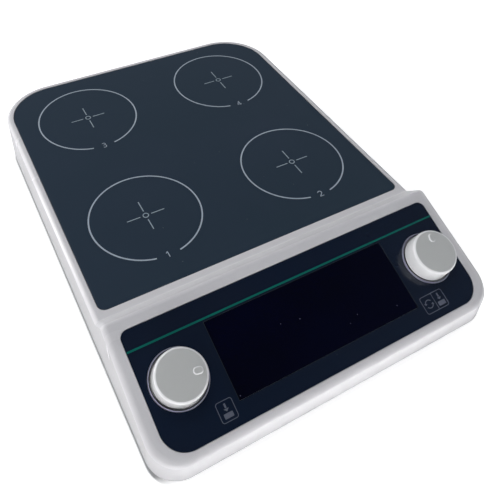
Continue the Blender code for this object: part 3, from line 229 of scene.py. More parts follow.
def add_nodes(tree, kinds, **made):
    """New nodes by name, each from its type and settings, together with the nodes handed in by name."""
    for name, (kind, settings) in kinds.items():
        made[name] = tree.nodes.new(f"ShaderNode{kind}")
        made[name].name = made[name].label = name
        set_up(tree, made, made[name], settings)
    return made


def calc(operation, *inputs, **settings):
    """The row of a Math node for add_nodes."""
    return "Math", {"operation": operation, **settings, **dict(enumerate(inputs))}


def vector_calc(operation, *inputs):
    return "VectorMath", {"operation": operation, **dict(enumerate(inputs))}


def noise(scale, vector="place.Object", **settings):
    return "TexNoise", {"Vector": vector, "Scale": scale, **settings}


def map_range(value, low, high, at_low=0.0, at_high=1.0):
    ends = {"From Min": low, "From Max": high, "To Min": at_low, "To Max": at_high}
    return "MapRange", {"Value": value, **ends}


def blend(factor, first, second):
    """The row of a node that mixes two colours. Its colour comes out of output 2."""
    return "Mix", {"data_type": "RGBA", "Factor": factor, 6: first, 7: second}


def make_group(name, inputs, outputs, kinds):
    """A node group, from its inputs' names, where its outputs come from, and its nodes, beside the one
    that gives the piece's own coordinates."""
    group = bpy.data.node_groups.new(name, "ShaderNodeTree")
    for way, labels in (("INPUT", inputs), ("OUTPUT", outputs)):
        for label in labels:
            kind = "Color" if "Colour" in label else "Float"
            group.interface.new_socket(label, in_out=way, socket_type=f"NodeSocket{kind}")
    kinds = {"place": ("TexCoord", {}), **kinds}
    made = add_nodes(group, kinds, given=group.nodes.new("NodeGroupInput"))
    set_up(group, made, group.nodes.new("NodeGroupOutput"), outputs)
    return group


# Colour that drifts slowly to a second one over the surface, as a moulding's or a print's does
TONE = make_group(
    "slow_tone",
    ("Colour", "Drift Colour", "Scale", "Amount"),
    {"Colour": "blend.2"},
    {
        "cloud": noise("given.Scale", Detail=3.0, Roughness=0.55),
        "spread": map_range("cloud.Fac", 0.35, 0.65),
        "weight": calc("MULTIPLY", "spread.Result", "given.Amount"),
        "blend": blend("weight.Value", "given.Colour", "given.Drift Colour"),
    },
)

# Sparse specks of dust on faces that look up, with a mask that also roughens them
DUST = make_group(
    "dust_specks",
    ("Colour", "Dust Colour", "Scale", "Speck", "Share", "Amount"),
    {"Colour": "blend.2", "Mask": "mask.Value"},
    {
        "cells": ("TexVoronoi", {"feature": "F1", "Vector": "place.Object", "Scale": "given.Scale"}),
        "near": calc("LESS_THAN", "cells.Distance", "given.Speck"),
        "lot": ("SeparateColor", {"Color": "cells.Color"}),
        "chosen": calc("LESS_THAN", "lot.Red", "given.Share"),
        "facing": ("NewGeometry", {}),
        "axes": ("SeparateXYZ", {"Vector": "facing.Normal"}),
        "upward": map_range("axes.Z", 0.5, 0.9),
        "speck": calc("MULTIPLY", "near.Value", "chosen.Value"),
        "lying": calc("MULTIPLY", "speck.Value", "upward.Result"),
        "mask": calc("MULTIPLY", "lying.Value", "given.Amount"),
        "blend": blend("mask.Value", "given.Colour", "given.Dust Colour"),
    },
)

# Roughness with faint wipe marks, and rougher under a mask
HANDLED = make_group(
    "handled_gloss",
    ("Roughness", "Mask", "Scale", "Marks"),
    {"Roughness": "dull.Value"},
    {
        "stretch": ("Mapping", {"Vector": "place.Object", "Scale": (1.0, 2.6, 1.0), "Rotation": (0, 0, 0.6)}),
        "wipes": noise("given.Scale", "stretch.Vector", Detail=4.0, Roughness=0.6, Distortion=0.6),
        "centred": calc("SUBTRACT", "wipes.Fac", 0.5),
        "swing": calc("MULTIPLY", "centred.Value", "given.Marks"),
        "base": calc("ADD", "given.Roughness", "swing.Value"),
        "dull": calc("MULTIPLY_ADD", "given.Mask", DUST_DULLNESS, "base.Value", use_clamp=True),
    },
)

# Height of a moulded or rolled skin: a fine grain over a slow waviness
GRAIN = make_group(
    "skin_grain",
    ("Scale", "Fine", "Wave Scale", "Wave"),
    {"Height": "sum.Value"},
    {
        "grain": noise("given.Scale", Detail=2.0),
        "wave": noise("given.Wave Scale", Detail=1.0),
        "fine": calc("MULTIPLY", "grain.Fac", "given.Fine"),
        "sum": calc("MULTIPLY_ADD", "wave.Fac", "given.Wave", "fine.Value"),
    },
)


def shared(group, *inputs):
    """The row of a node that uses a shared group, with its inputs in their order."""
    return "Group", {"node_tree": group, **dict(enumerate(inputs))}


def finish_of(
    name, colour, drift, roughness, tone=(20, 0.5), dust=None, marks=(12, 0.05), grain=None, shader=None
):
    """A material from the shared groups. tone is scale and amount, and marks is scale and strength. dust
    is scale, speck, share, amount and colour. grain is scale, fine, wave scale, wave and depth in metres.
    shader is what else goes on the shader's sockets."""
    made = bpy.data.materials.new(name)
    made.use_nodes = True
    tree = made.node_tree
    kinds = {"tone": shared(TONE, (*colour, 1), (*drift, 1), *tone)}
    base, mask = "tone.Colour", 0.0
    if dust:
        kinds["dust"] = shared(DUST, base, (*dust[4], 1), *dust[:4])
        base, mask = "dust.Colour", "dust.Mask"
    kinds["gloss"] = shared(HANDLED, roughness, mask, *marks)
    surface = {"Base Color": base, "Roughness": "gloss.Roughness"}
    if grain:
        kinds["grain"] = shared(GRAIN, *grain[:4])
        kinds["bump"] = ("Bump", {"Distance": grain[4], "Height": "grain.Height"})
        surface["Normal"] = "bump.Normal"
    set_up(tree, add_nodes(tree, kinds), tree.nodes["Principled BSDF"], {**surface, **(shader or {})})
    return made


def add_painted_shading(finish, colour, measure, first_only, second_only):
    """Painted light and shade on part of a piece: a lighter colour there is a painted highlight and a darker
    one is painted shade.
    It is blended in between two values of a measure: "height" or "radius" of the surface in the piece's own
    frame, or "facing", the height of its normal."""
    tree = finish.node_tree
    surface = tree.nodes["Principled BSDF"]
    first = surface.inputs["Base Color"].links[0].from_socket
    surface_way = "own_place.Normal" if measure == "facing" else "own_place.Object"
    measured = "radius.Value" if measure == "radius" else "axes.Z"
    kinds = {
        "own_place": ("TexCoord", {}),
        "axes": ("SeparateXYZ", {"Vector": surface_way}),
        "flat": vector_calc("MULTIPLY", "own_place.Object", (1.0, 1.0, 0.0)),
        "radius": vector_calc("LENGTH", "flat.Vector"),
        "share": map_range(measured, first_only, second_only),
        "two_tone": blend("share.Result", first, (*colour, 1)),
    }
    made = add_nodes(tree, kinds)
    set_up(tree, made, surface, {"Base Color": "two_tone.2"})


WHITE = finish_of(
    "white_moulding", (0.74, 0.73, 0.745), (0.71, 0.7, 0.715), 0.26, tone=(14, 0.5),
    dust=(90, 0.045, 0.1, 0.5, (0.42, 0.42, 0.43)), marks=(9, 0.08), grain=(1500, 0.5, 30, 0.5, 0.00002),
)
GLASS = finish_of(
    "deck_glass", (0.026, 0.042, 0.064), (0.023, 0.04, 0.059), 0.1, tone=(9, 0.8),
    dust=(110, 0.045, 0.2, 0.5, (0.18, 0.21, 0.24)), marks=(7, 0.05), shader={"IOR": 1.5},
)
DECK_PRINT = finish_of("deck_print", (0.44, 0.51, 0.58), (0.4, 0.47, 0.54), 0.12, tone=(60, 0.5))
CROSS_PRINT = finish_of("deck_print_fine", (0.36, 0.44, 0.49), (0.32, 0.4, 0.45), 0.12, tone=(60, 0.5))
PANEL_FILM = finish_of(
    "panel_film", (0.0045, 0.011, 0.028), (0.0065, 0.012, 0.027), 0.16, tone=(16, 0.8),
    dust=(150, 0.05, 0.24, 0.7, (0.17, 0.18, 0.2)), marks=(10, 0.06),
)
DISPLAY = finish_of(
    "display_glass", (0.0003, 0.0005, 0.0065), (0.0003, 0.0007, 0.01), 0.1, tone=(18, 0.9),
    dust=(150, 0.055, 0.32, 0.8, (0.14, 0.14, 0.19)), marks=(10, 0.04), shader={"Specular IOR Level": 0.25},
)
STRIPE = finish_of("panel_stripe", (0.003, 0.155, 0.118), (0.003, 0.135, 0.105), 0.16, tone=(60, 0.5))
PANEL_PRINT = finish_of("panel_print", (0.14, 0.155, 0.2), (0.12, 0.135, 0.18), 0.2, tone=(90, 0.5))
# Painted highlight: a line a little lighter than the film, for the display window's gap where its edge
# catches light.
DISPLAY_EDGE_HIGHLIGHT = finish_of("display_edge_highlight", (0.022, 0.029, 0.034), (0.016, 0.021, 0.028), 0.16, tone=(90, 0.8))
KNOB_PLASTIC = finish_of(
    "knob_plastic", (0.62, 0.63, 0.615), (0.6, 0.61, 0.595), 0.15, tone=(60, 0.5), marks=(40, 0.06),
    dust=(200, 0.04, 0.1, 0.3, (0.4, 0.4, 0.4)), grain=(2500, 0.5, 90, 0.3, 0.00001),
)
# Painted light: the knob's flat top keeps the grey base colour, and its sides, rounded edge and the pad's
# wall get a whiter one for the brighter light that falls on them.
add_painted_shading(KNOB_PLASTIC, (0.9, 0.9, 0.905), "facing", 0.985, 0.93)
# Painted shade: the knob below about half a millimetre above the panel goes near black, for the shade in the
# gap round its foot.
add_painted_shading(KNOB_PLASTIC, (0.004, 0.004, 0.008), "height", 0.00065, 0.0005)
RING_PLASTIC = finish_of("ring_plastic", (0.34, 0.34, 0.45), (0.3, 0.31, 0.41), 0.3, marks=(60, 0.1))
# Painted shade: the ring's inner edge and wall, within about 0.4 mm of its hole, go near black, for the shade
# in the gap between knob and ring.
add_painted_shading(RING_PLASTIC, (0.006, 0.006, 0.009), "radius", RING_INNER + 0.0005, RING_INNER + 0.0004)
PAN_PLASTIC = finish_of(
    "pan_plastic", (0.06, 0.06, 0.065), (0.05, 0.05, 0.054), 0.55, grain=(900, 0.8, 60, 0.2, 0.00006)
)
RUBBER = finish_of(
    "foot_rubber", (0.03, 0.03, 0.03), (0.045, 0.044, 0.042), 0.82, tone=(120, 0.7),
    grain=(1400, 0.8, 200, 0.4, 0.0001),
)
METAL = {"Metallic": 1.0}
STEEL = finish_of(
    "bright_steel", (0.6, 0.6, 0.6), (0.52, 0.52, 0.53), 0.28, marks=(300, 0.15), shader=METAL
)
ZINC = finish_of("zinc_plate", (0.62, 0.62, 0.6), (0.5, 0.52, 0.53), 0.4, marks=(200, 0.2), shader=METAL)
NICKEL = finish_of("nickel", (0.68, 0.65, 0.6), (0.62, 0.6, 0.56), 0.2, marks=(200, 0.1), shader=METAL)
CARRIER = finish_of("carrier_plastic", (0.05, 0.052, 0.055), (0.04, 0.042, 0.045), 0.5)
BOARD = finish_of("board_lacquer", (0.015, 0.1, 0.045), (0.012, 0.08, 0.04), 0.35, tone=(90, 0.7))
BLACK = finish_of(
    "black_plastic", (0.016, 0.016, 0.017), (0.022, 0.022, 0.023), 0.42, grain=(1800, 0.8, 90, 0.2, 0.00004)
)
MARK_WHITE = finish_of("mark_white", (0.7, 0.7, 0.7), (0.64, 0.64, 0.64), 0.4)

SLOT_FINISHES = {
    "white_plastic": WHITE, "dark_glass": GLASS, "panel_face": PANEL_FILM, "display_window": DISPLAY,
    "knob_white": KNOB_PLASTIC, "ring_grey": RING_PLASTIC, "pan_grey": PAN_PLASTIC, "rubber": RUBBER,
    "steel": STEEL, "zinc_plate": ZINC, "magnet_nickel": NICKEL, "carrier_plastic": CARRIER,
    "board_green": BOARD, "black_plastic": BLACK,
}


# Mesh tools
def piece(name, mesh, finish, place=UPRIGHT):
    """A new object of one finish, not yet on a body."""
    mesh.name = name
    mesh.materials.clear()
    mesh.materials.append(finish)
    return add_object(name, mesh, place)


def tool(mesh, place=UPRIGHT):
    """A shape for a Boolean, which is taken away once that is applied."""
    return add_object("tool", mesh, place)


def stand_for(obj, node, body="housing"):
    """Puts a piece in a CAD node's place, on its body."""
    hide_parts(node)
    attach(obj, body)


def apply_all(obj):
    """Bakes the object's modifiers into its mesh."""
    bpy.context.view_layer.update()
    graph = bpy.context.evaluated_depsgraph_get()
    mesh = bpy.data.meshes.new_from_object(obj.evaluated_get(graph), depsgraph=graph)
    obj.modifiers.clear()
    obj.data = mesh


def carve(obj, operation, *tools):
    for other in tools:
        modifier = obj.modifiers.new(operation.lower(), "BOOLEAN")
        modifier.operation, modifier.solver, modifier.object = operation, "EXACT", other
    apply_all(obj)
    for other in tools:
        bpy.data.objects.remove(other)


def shade(obj, angle=35):
    """Smooth shading with sharp edges from an angle up."""
    obj.data.shade_smooth()
    obj.data.set_sharp_from_angle(angle=radians(angle))


def add_bevel(obj, width, segments, angle):
    modifier = obj.modifiers.new("rounded_edges", "BEVEL")
    modifier.width, modifier.segments = width, segments
    modifier.limit_method, modifier.angle_limit = "ANGLE", radians(angle)


def add_even_shading(obj, weight=50):
    even = obj.modifiers.new("even_shading", "WEIGHTED_NORMAL")
    even.keep_sharp, even.weight = True, weight


def soften(obj, width, segments=2, angle=50):
    """Rounds the edges sharper than an angle, and shades the rest smooth with flat faces kept flat."""
    add_bevel(obj, width, segments, angle)
    apply_all(obj)
    shade(obj, 30)
    add_even_shading(obj, weight=80)


def to_mesh(bm):
    mesh = bpy.data.meshes.new("mesh")
    bm.to_mesh(mesh)
    bm.free()
    return mesh


def to_solid(bm, merge=MERGE):
    """A closed mesh, with near points made one and its faces turned outwards."""
    bmesh.ops.remove_doubles(bm, verts=bm.verts, dist=merge)
    bmesh.ops.recalc_face_normals(bm, faces=bm.faces)
    return to_mesh(bm)


def arc(centre, radius, start, end, steps):
    turns = np.linspace(start, end, steps + 1)
    return [(centre[0] + radius * cos(a), centre[1] + radius * sin(a)) for a in turns]


def outer_round(radius, height, rounding, steps):
    """The rounded top edge of a turned profile, outwards."""
    return arc((radius - rounding, height - rounding), rounding, pi / 2, 0, steps)


def rounded_rectangle(x, y, rear_radius, front_radius, steps):
    quarter = pi / 2
    corners = (
        (x[1] - rear_radius, y[1] - rear_radius, rear_radius),
        (x[0] + rear_radius, y[1] - rear_radius, rear_radius),
        (x[0] + front_radius, y[0] + front_radius, front_radius),
        (x[1] - front_radius, y[0] + front_radius, front_radius),
    )
    return [
        point
        for turn, (cx, cy, radius) in enumerate(corners)
        for point in arc((cx, cy), radius, turn * quarter, (turn + 1) * quarter, steps)
    ]


def prism(outline, low, high):
    """An upright solid with one flat face at each end."""
    bm = bmesh.new()
    foot = bm.faces.new([bm.verts.new((x, y, low)) for x, y in outline])
    raised = bmesh.ops.extrude_face_region(bm, geom=[foot])["geom"]
    top = [v for v in raised if isinstance(v, bmesh.types.BMVert)]
    bmesh.ops.translate(bm, verts=top, vec=(0, 0, high - low))
    return to_solid(bm)


def cylinders(radius, low, high, places=((0, 0),), steps=48):
    bm = bmesh.new()
    for x, y in places:
        bmesh.ops.create_cone(
            bm, cap_ends=True, segments=steps, radius1=radius, radius2=radius, depth=high - low,
            matrix=at(x, y, (low + high) / 2),
        )
    return to_mesh(bm)


def box(x, y, z):
    bm = bmesh.new()
    middle = [(low + high) / 2 for low, high in (x, y, z)]
    sides = [high - low for low, high in (x, y, z)]
    bmesh.ops.create_cube(bm, size=1, matrix=Matrix.Translation(middle) @ Matrix.Diagonal((*sides, 1)))
    return to_mesh(bm)


def turned(profile, steps=ROUND_STEPS):
    """A solid turned about Z from (radius, height) points."""
    bm = bmesh.new()
    line = [bm.verts.new((radius, 0, height)) for radius, height in profile]
    edges = [bm.edges.new(pair) for pair in zip(line, line[1:])]
    if profile[0][0] > 0:
        edges.append(bm.edges.new((line[-1], line[0])))
    bmesh.ops.spin(
        bm, geom=line + edges, cent=(0, 0, 0), axis=(0, 0, 1), angle=2 * pi, steps=steps, use_merge=True
    )
    return to_solid(bm)


# The housing's outside, as in the CAD model but finer
def meet(first, second):
    """Where two lines cross, each given by a point and a slope."""
    (y1, z1), slope1 = first
    (y2, z2), slope2 = second
    y = (z2 - z1 + slope1 * y1 - slope2 * y2) / (slope1 - slope2)
    return y, z1 + slope1 * (y - y1)


def round_corner(before, corner, after, radius):
    before, corner, after = (np.array(point) for point in (before, corner, after))
    back = (before - corner) / np.linalg.norm(before - corner)
    on = (after - corner) / np.linalg.norm(after - corner)
    half = acos(float(back @ on)) / 2
    middle = (back + on) / np.linalg.norm(back + on)
    centre = corner + middle * radius / sin(half)
    start = corner + back * radius / tan(half) - centre
    end = corner + on * radius / tan(half) - centre
    sweep = pi - 2 * half
    return [
        tuple(centre + (start * sin(sweep * (1 - t)) + end * sin(sweep * t)) / sin(sweep))
        for t in np.linspace(0, 1, ARC_STEPS + 1)
    ]


def side_view(deck, ramp_shift, panel_drop, rounded):
    """The top in the side view, as (y, z) from rear to front."""
    deck_line = ((BODY_REAR, deck), 0)
    ramp_line = ((FOOT_Y - ramp_shift / sin(RAMP_ANGLE), DECK_HEIGHT), -tan(RAMP_ANGLE))
    panel_line = ((CREST_Y, CREST_HEIGHT - panel_drop / cos(PANEL_TILT)), tan(PANEL_TILT))
    foot, crest = meet(deck_line, ramp_line), meet(ramp_line, panel_line)
    rear = (BODY_REAR, deck)
    run = crest[0] - BODY_FRONT + FRONT_RIM
    front = (crest[0] - run, crest[1] - run * tan(PANEL_TILT))
    if not rounded:
        return [rear, foot, crest, front]
    foot_arc = round_corner(rear, foot, crest, RAMP_FOOT_RADIUS)
    return [rear, *foot_arc, *round_corner(foot, crest, front, CREST_RADIUS), front]


def top_height(view, y):
    heights = sorted(view)
    return float(np.interp(y, [point[0] for point in heights], [point[1] for point in heights]))


def half_outline(inset, marks):
    """The right half of the outline from rear to front, as points and outward normals."""
    half, rear, front = BODY_HALF - inset, BODY_REAR - inset, BODY_FRONT + inset
    rear_radius, front_radius = BODY_REAR_RADIUS - inset, FRONT_RADIUS - inset
    points = [(0, rear, 0, 1)]
    for turn in np.linspace(pi / 2, 0, REAR_STEPS + 1):
        nx, ny = cos(turn), sin(turn)
        points.append((half - rear_radius * (1 - nx), rear - rear_radius * (1 - ny), nx, ny))
    points += [(half, y, 1, 0) for y in marks]
    for turn in np.linspace(0, -pi / 2, FRONT_STEPS + 1):
        nx, ny = cos(turn), sin(turn)
        points.append((half - front_radius * (1 - nx), front + front_radius * (1 + ny), nx, ny))
    return points + [(0, front, 0, -1)]


def wall_and_round(foot_low, height, slope, radius, short):
    """Up a drafted wall, then round to the top. The round stops short of the wall by an angle."""
    lean = atan(-slope)
    normals = (sin(lean), cos(lean)), (cos(DRAFT), sin(DRAFT))
    reach = cos(lean) * height - radius, sin(DRAFT) * HOUSING_BOTTOM - radius * cos(short)
    x, z = np.linalg.solve(normals, reach)
    foot = ((HOUSING_BOTTOM - foot_low) * tan(DRAFT), foot_low)
    turns = np.linspace(pi / 2 - DRAFT - short, lean, FILLET_STEPS + 1)
    return [foot] + [(x + radius * sin(a), z + radius * cos(a)) for a in turns]


def lofted_shell(view, inset, foot_low, radius_at, short):
    """The right half of a closed loft, mirrored to the left."""
    straight_rear = BODY_REAR - BODY_REAR_RADIUS
    straight_front = BODY_FRONT + FRONT_RADIUS
    marks = [y for y, _ in view if straight_front < y < straight_rear]
    bm = bmesh.new()
    columns, rungs, sills = [], [], []
    for x, y, nx, ny in half_outline(inset, marks):
        slope = tan(PANEL_TILT) * ny if ny < 0 else 0
        line = wall_and_round(foot_low, top_height(view, y), slope, radius_at(y, ny), short)
        columns.append([bm.verts.new((max(x + nx * out, 0), y + ny * out, z)) for out, z in line])
    last = len(columns) - 1
    ends = {0: 0, 1: 0, last - 1: last, last: last}
    for i, column in enumerate(columns):
        for row, k in ((sills, 0), (rungs, -1)):
            row.append(columns[ends[i]][k] if i in ends else bm.verts.new((0, *column[k].co[1:])))
    for i in range(last):
        here, there = columns[i], columns[i + 1]
        for k in range(len(here) - 1):
            bm.faces.new((here[k], here[k + 1], there[k + 1], there[k]))
        if 0 < i < last - 1:
            bm.faces.new((here[-1], rungs[i], rungs[i + 1], there[-1]))
            bm.faces.new((here[0], there[0], sills[i + 1], sills[i]))
    half = [*bm.verts, *bm.edges, *bm.faces]
    bmesh.ops.mirror(bm, geom=half, axis="X", merge_dist=MIRROR_MERGE)
    return to_solid(bm, MIRROR_MERGE)


def deck_outline(grow):
    half = DECK_WIDTH / 2 + grow
    rear, front = DECK_REAR_RADIUS + grow, DECK_FRONT_RADIUS + grow
    return rounded_rectangle((-half, half), (DECK_FRONT - grow, DECK_REAR + grow), rear, front, REAR_STEPS)


def panel_outline(grow):
    half, end = PANEL_HALF + grow, PANEL_LENGTH / 2 + grow
    rear, front = PANEL_REAR_RADIUS + grow, PANEL_FRONT_RADIUS + grow
    return rounded_rectangle((-half, half), (-end, end), rear, front, FRONT_STEPS)


def window_box(grow, low, high):
    x, y = WINDOW_HALF + grow, WINDOW_LENGTH / 2 + grow
    return box((-x, x), (WINDOW_Y - y, WINDOW_Y + y), (low, high))


def make_housing():
    """The white moulding: hollow, with pockets for the glass, the panel and what is in the rear wall."""
    view = side_view(DECK_HEIGHT, 0, 0, True)
    foot_y, crest_y = view[1][0], view[-2][0]

    def radius_at(y, ny):
        share = min(max((foot_y - y) / (foot_y - crest_y), 0), 1)
        side = DECK_FILLET + (PANEL_FILLET - DECK_FILLET) * share
        return side + (FRONT_FILLET - PANEL_FILLET) * max(-ny, 0)

    housing = piece("housing", lofted_shell(view, 0, HOUSING_BOTTOM, radius_at, SHOULDER_TURN), WHITE)
    core_view = side_view(POCKET_FLOOR - FLOOR, WALL, PANEL_CEILING, False)
    core = lofted_shell(core_view, WALL, 0, lambda y, ny: INNER_FILLET, 0)
    x, y = POCKET_WIDTH / 2, POCKET_HEIGHT / 2
    across, up = x + POCKET_WALL, y + POCKET_WALL
    block = box((-across, across), (-up, up), (-WALL, POCKET_DEPTH - POCKET_BLOCK_SINK))
    pocket = rounded_rectangle((-x, x), (-y, y), POCKET_CORNER, POCKET_CORNER, 6)
    switch_x, switch_y = (side / 2 - SWITCH_INSET + SEAT for side in (SWITCH_WIDTH, SWITCH_HEIGHT))
    switch_hole = box(
        (SWITCH_OFFSET - switch_x, SWITCH_OFFSET + switch_x), (-switch_y, switch_y), (-CUT, HOLE_CUT)
    )
    necks = cylinders(SHAFT_RADIUS + NECK_WALL + 2 * SEAT, -PANEL_CEILING - NECK_CUT, 0, KNOB_PLACES)
    carve(housing, "DIFFERENCE", tool(core))
    carve(housing, "UNION", tool(block, REAR))
    carve(
        housing,
        "DIFFERENCE",
        tool(prism(deck_outline(SEAT), POCKET_FLOOR, DECK_HEIGHT + CUT)),
        tool(prism(panel_outline(SEAT), PANEL_BACK - SEAT, CUT), PANEL),
        tool(window_box(-WINDOW_LEDGE, -PANEL_CEILING - CUT, 0), PANEL),
        tool(necks, PANEL),
        tool(prism(pocket, 0, POCKET_DEPTH + CUT), REAR),
        tool(switch_hole, REAR),
        tool(cylinders(JACK_BODY_RADIUS + SEAT, -CUT, HOLE_CUT, [(JACK_OFFSET, 0)]), REAR),
    )
    soften(housing, LIP_ROUND, angle=15)
    stand_for(housing, "top_housing")


def make_glass():
    plate = piece("glass_deck", prism(deck_outline(0), POCKET_FLOOR + SEAT, DECK_TOP), GLASS)
    soften(plate, GLASS_ROUND, 3)
    stand_for(plate, "deck_plate")


# Flat printing
def band(outer, inner):
    """A flat strip between two lines with the same number of points."""
    bm = bmesh.new()
    rows = [[bm.verts.new((x, y, 0)) for x, y in line] for line in (outer, inner)]
    for k in range(len(outer) - 1):
        bm.faces.new((rows[0][k], rows[0][k + 1], rows[1][k + 1], rows[1][k]))
    bmesh.ops.recalc_face_normals(bm, faces=bm.faces)
    return bm


def polygon(points):
    bm = bmesh.new()
    bm.faces.new([bm.verts.new((x, y, 0)) for x, y in points])
    return bm


def bar(x, y):
    return polygon([(x[0], y[0]), (x[1], y[0]), (x[1], y[1]), (x[0], y[1])])


def ring_band(radius, line, start, end, steps=128):
    return band(*(arc((0, 0), radius + grow, start, end, steps) for grow in (line / 2, -line / 2)))


def frame_band(x, y, radius, line):
    """A rounded box drawn as a line, centred on the box's edge."""
    rims = []
    for grow in (line / 2, -line / 2):
        sides = (x[0] - grow, x[1] + grow), (y[0] - grow, y[1] + grow)
        rim = rounded_rectangle(*sides, radius + grow, radius + grow, 6)
        rims.append(rim + rim[:1])
    return band(*rims)


def stroke(points, line):
    """A flat strip of even width along a line of points."""
    sides = [], []
    for k, (x, y) in enumerate(points):
        ahead = Vector(points[min(k + 1, len(points) - 1)]) - Vector(points[max(k - 1, 0)])
        ahead *= line / 2 / ahead.length
        sides[0].append((x - ahead.y, y + ahead.x))
        sides[1].append((x + ahead.y, y - ahead.x))
    return band(*sides)


def digit(number, middle_y):
    """The strips of a plain figure, from its middle lines, which are given one unit high and centred."""
    figures = {
        1: [[(-0.26, 0.24), (0.03, 0.5)], [(0, 0.5), (0, -0.5)]],
        2: [
            [*arc((0, 0.2), 0.3, radians(165), radians(-42), 14), (-0.27, -0.45)],
            [(-0.33, -0.5), (0.34, -0.5)],
        ],
        3: [
            arc((0, 0.27), 0.24, radians(150), radians(-90), 14),
            [(-0.13, 0.04), (0, 0.04)],
            arc((0, -0.24), 0.29, radians(90), radians(-140), 14),
        ],
        4: [[(0.12, 0.5), (-0.35, -0.25)], [(-0.4, -0.25), (0.38, -0.25)], [(0.12, 0.54), (0.12, -0.54)]],
    }
    return [
        stroke([(x * DIGIT_HEIGHT, y * DIGIT_HEIGHT + middle_y) for x, y in line], DIGIT_LINE)
        for line in figures[number]
    ]


def print_on(name, shapes, finish, place, shift=(0, 0), body="housing"):
    """One upward-facing layer of several flat shapes, shifted in its own frame: the prints, and the painted
    highlight round the display window.
    """
    joined = bmesh.new()
    for bm in shapes:
        mesh = to_mesh(bm)
        mesh.transform(at(*shift, 0))
        joined.from_mesh(mesh)
        bpy.data.meshes.remove(mesh)
    bmesh.ops.remove_doubles(joined, verts=joined.verts, dist=MERGE)
    for face in joined.faces:
        if face.normal.z < 0:
            face.normal_flip()
    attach(piece(name, to_mesh(joined), finish, place), body)


def print_stations():
    """A ring with its number in a gap, and a cross, over each station."""
    lift = at(0, 0, DECK_TOP + PRINT_LIFT)
    gap_start = -pi / 2 + RING_GAP
    long, back, thin = (CROSS_IN, CROSS_OUT), (-CROSS_OUT, -CROSS_IN), (-CROSS_LINE / 2, CROSS_LINE / 2)
    for number, place in enumerate(STATIONS, 1):
        ring = ring_band(RING_RADIUS, RING_LINE, gap_start, gap_start + 2 * (pi - RING_GAP))
        figure = digit(number, DIGIT_SHIFT - RING_RADIUS)
        print_on(f"station_ring_{number}", [ring, *figure], DECK_PRINT, lift, place)
        cross = [bar(x, y) for x, y in ((long, thin), (back, thin), (thin, long), (thin, back))]
        cross.append(ring_band(CENTRE_RADIUS, CENTRE_LINE, 0, 2 * pi, 48))
        print_on(f"station_cross_{number}", cross, CROSS_PRINT, lift, place)


# Control panel
def make_panel():
    panel = piece("panel_plate", prism(panel_outline(0), PANEL_BACK, -PANEL_SINK), PANEL_FILM, PANEL)
    holes = cylinders(RING_OUTER + SEAT, PANEL_BACK - CUT, CUT, KNOB_PLACES, ROUND_STEPS)
    opening = window_box(WINDOW_GAP, PANEL_BACK - CUT, CUT)
    carve(panel, "DIFFERENCE", tool(holes, PANEL), tool(opening, PANEL))
    soften(panel, PANEL_ROUND)
    stand_for(panel, "control_panel")
    glass = piece("display_glass", window_box(0, PANEL_BACK, -PANEL_SINK), DISPLAY, PANEL)
    soften(glass, PANEL_ROUND)
    stand_for(glass, "display_window")


def print_panel():
    lift = PANEL @ at(0, 0, -PANEL_SINK + PRINT_LIFT)
    half, end = STRIPE_WIDTH / 2, PANEL_HALF - PANEL_ROUND
    print_on("panel_stripe", [bar((-end, end), (STRIPE_Y - half, STRIPE_Y + half))], STRIPE, lift)
    # Painted highlight: a lighter line round the display window's gap, where its edge catches light.
    beyond = WINDOW_GAP + EDGE_LINE / 2
    x, y = WINDOW_HALF + beyond, WINDOW_LENGTH / 2 + beyond
    edge = frame_band((-x, x), (WINDOW_Y - y, WINDOW_Y + y), EDGE_LINE, EDGE_LINE)
    print_on("display_edge_highlight", [edge], DISPLAY_EDGE_HIGHLIGHT, lift)
    marks = [frame_band(sides, (BOX_LOW, BOX_HIGH), BOX_CORNER, BOX_LINE) for sides in (LEFT_BOX, RIGHT_BOX)]
    marks.append(bar((BOX_DIVIDER - BOX_LINE / 2, BOX_DIVIDER + BOX_LINE / 2), (BOX_LOW, BOX_HIGH)))
    for low, high in (LEFT_BOX, (BOX_DIVIDER, RIGHT_BOX[1])):
        marks += push_marks((low + high) / 2)
    marks += turn_marks((RIGHT_BOX[0] + BOX_DIVIDER) / 2)
    print_on("panel_key_marks", marks, PANEL_PRINT, lift)


def push_marks(x):
    """A key that is pressed: an arrow down onto a filled key."""
    low = BOX_LOW + KEY_PAD
    key = rounded_rectangle((x - KEY_HALF, x + KEY_HALF), (low, low + KEY_HEIGHT), KEY_CORNER, KEY_CORNER, 4)
    tip = low + KEY_HEIGHT + KEY_PAD / 2
    arrow = [(x, tip), (x + ARROW_HALF, tip + ARROW_HALF), (x - ARROW_HALF, tip + ARROW_HALF)]
    stem = bar(
        (x - ARROW_HALF / 3, x + ARROW_HALF / 3), (tip + ARROW_HALF + ARROW_GAP, BOX_HIGH - KEY_PAD)
    )
    return [polygon(key), polygon(arrow), stem]


def turn_marks(x):
    """A knob that is turned: two arrows on a broken circle."""
    middle = (BOX_LOW + BOX_HIGH) / 2
    made = []
    for start in (radians(35), radians(215)):
        end = start + TURN_SWEEP
        edges = (TURN_RADIUS + BOX_LINE, TURN_RADIUS - BOX_LINE / 2)
        lines = [arc((x, middle), radius, start, end, 16) for radius in edges]
        centre = (x + TURN_RADIUS * cos(end), middle + TURN_RADIUS * sin(end))
        made += [band(*lines), polygon(arc(centre, TURN_ARROW, end, end + pi, 2))]
    return made


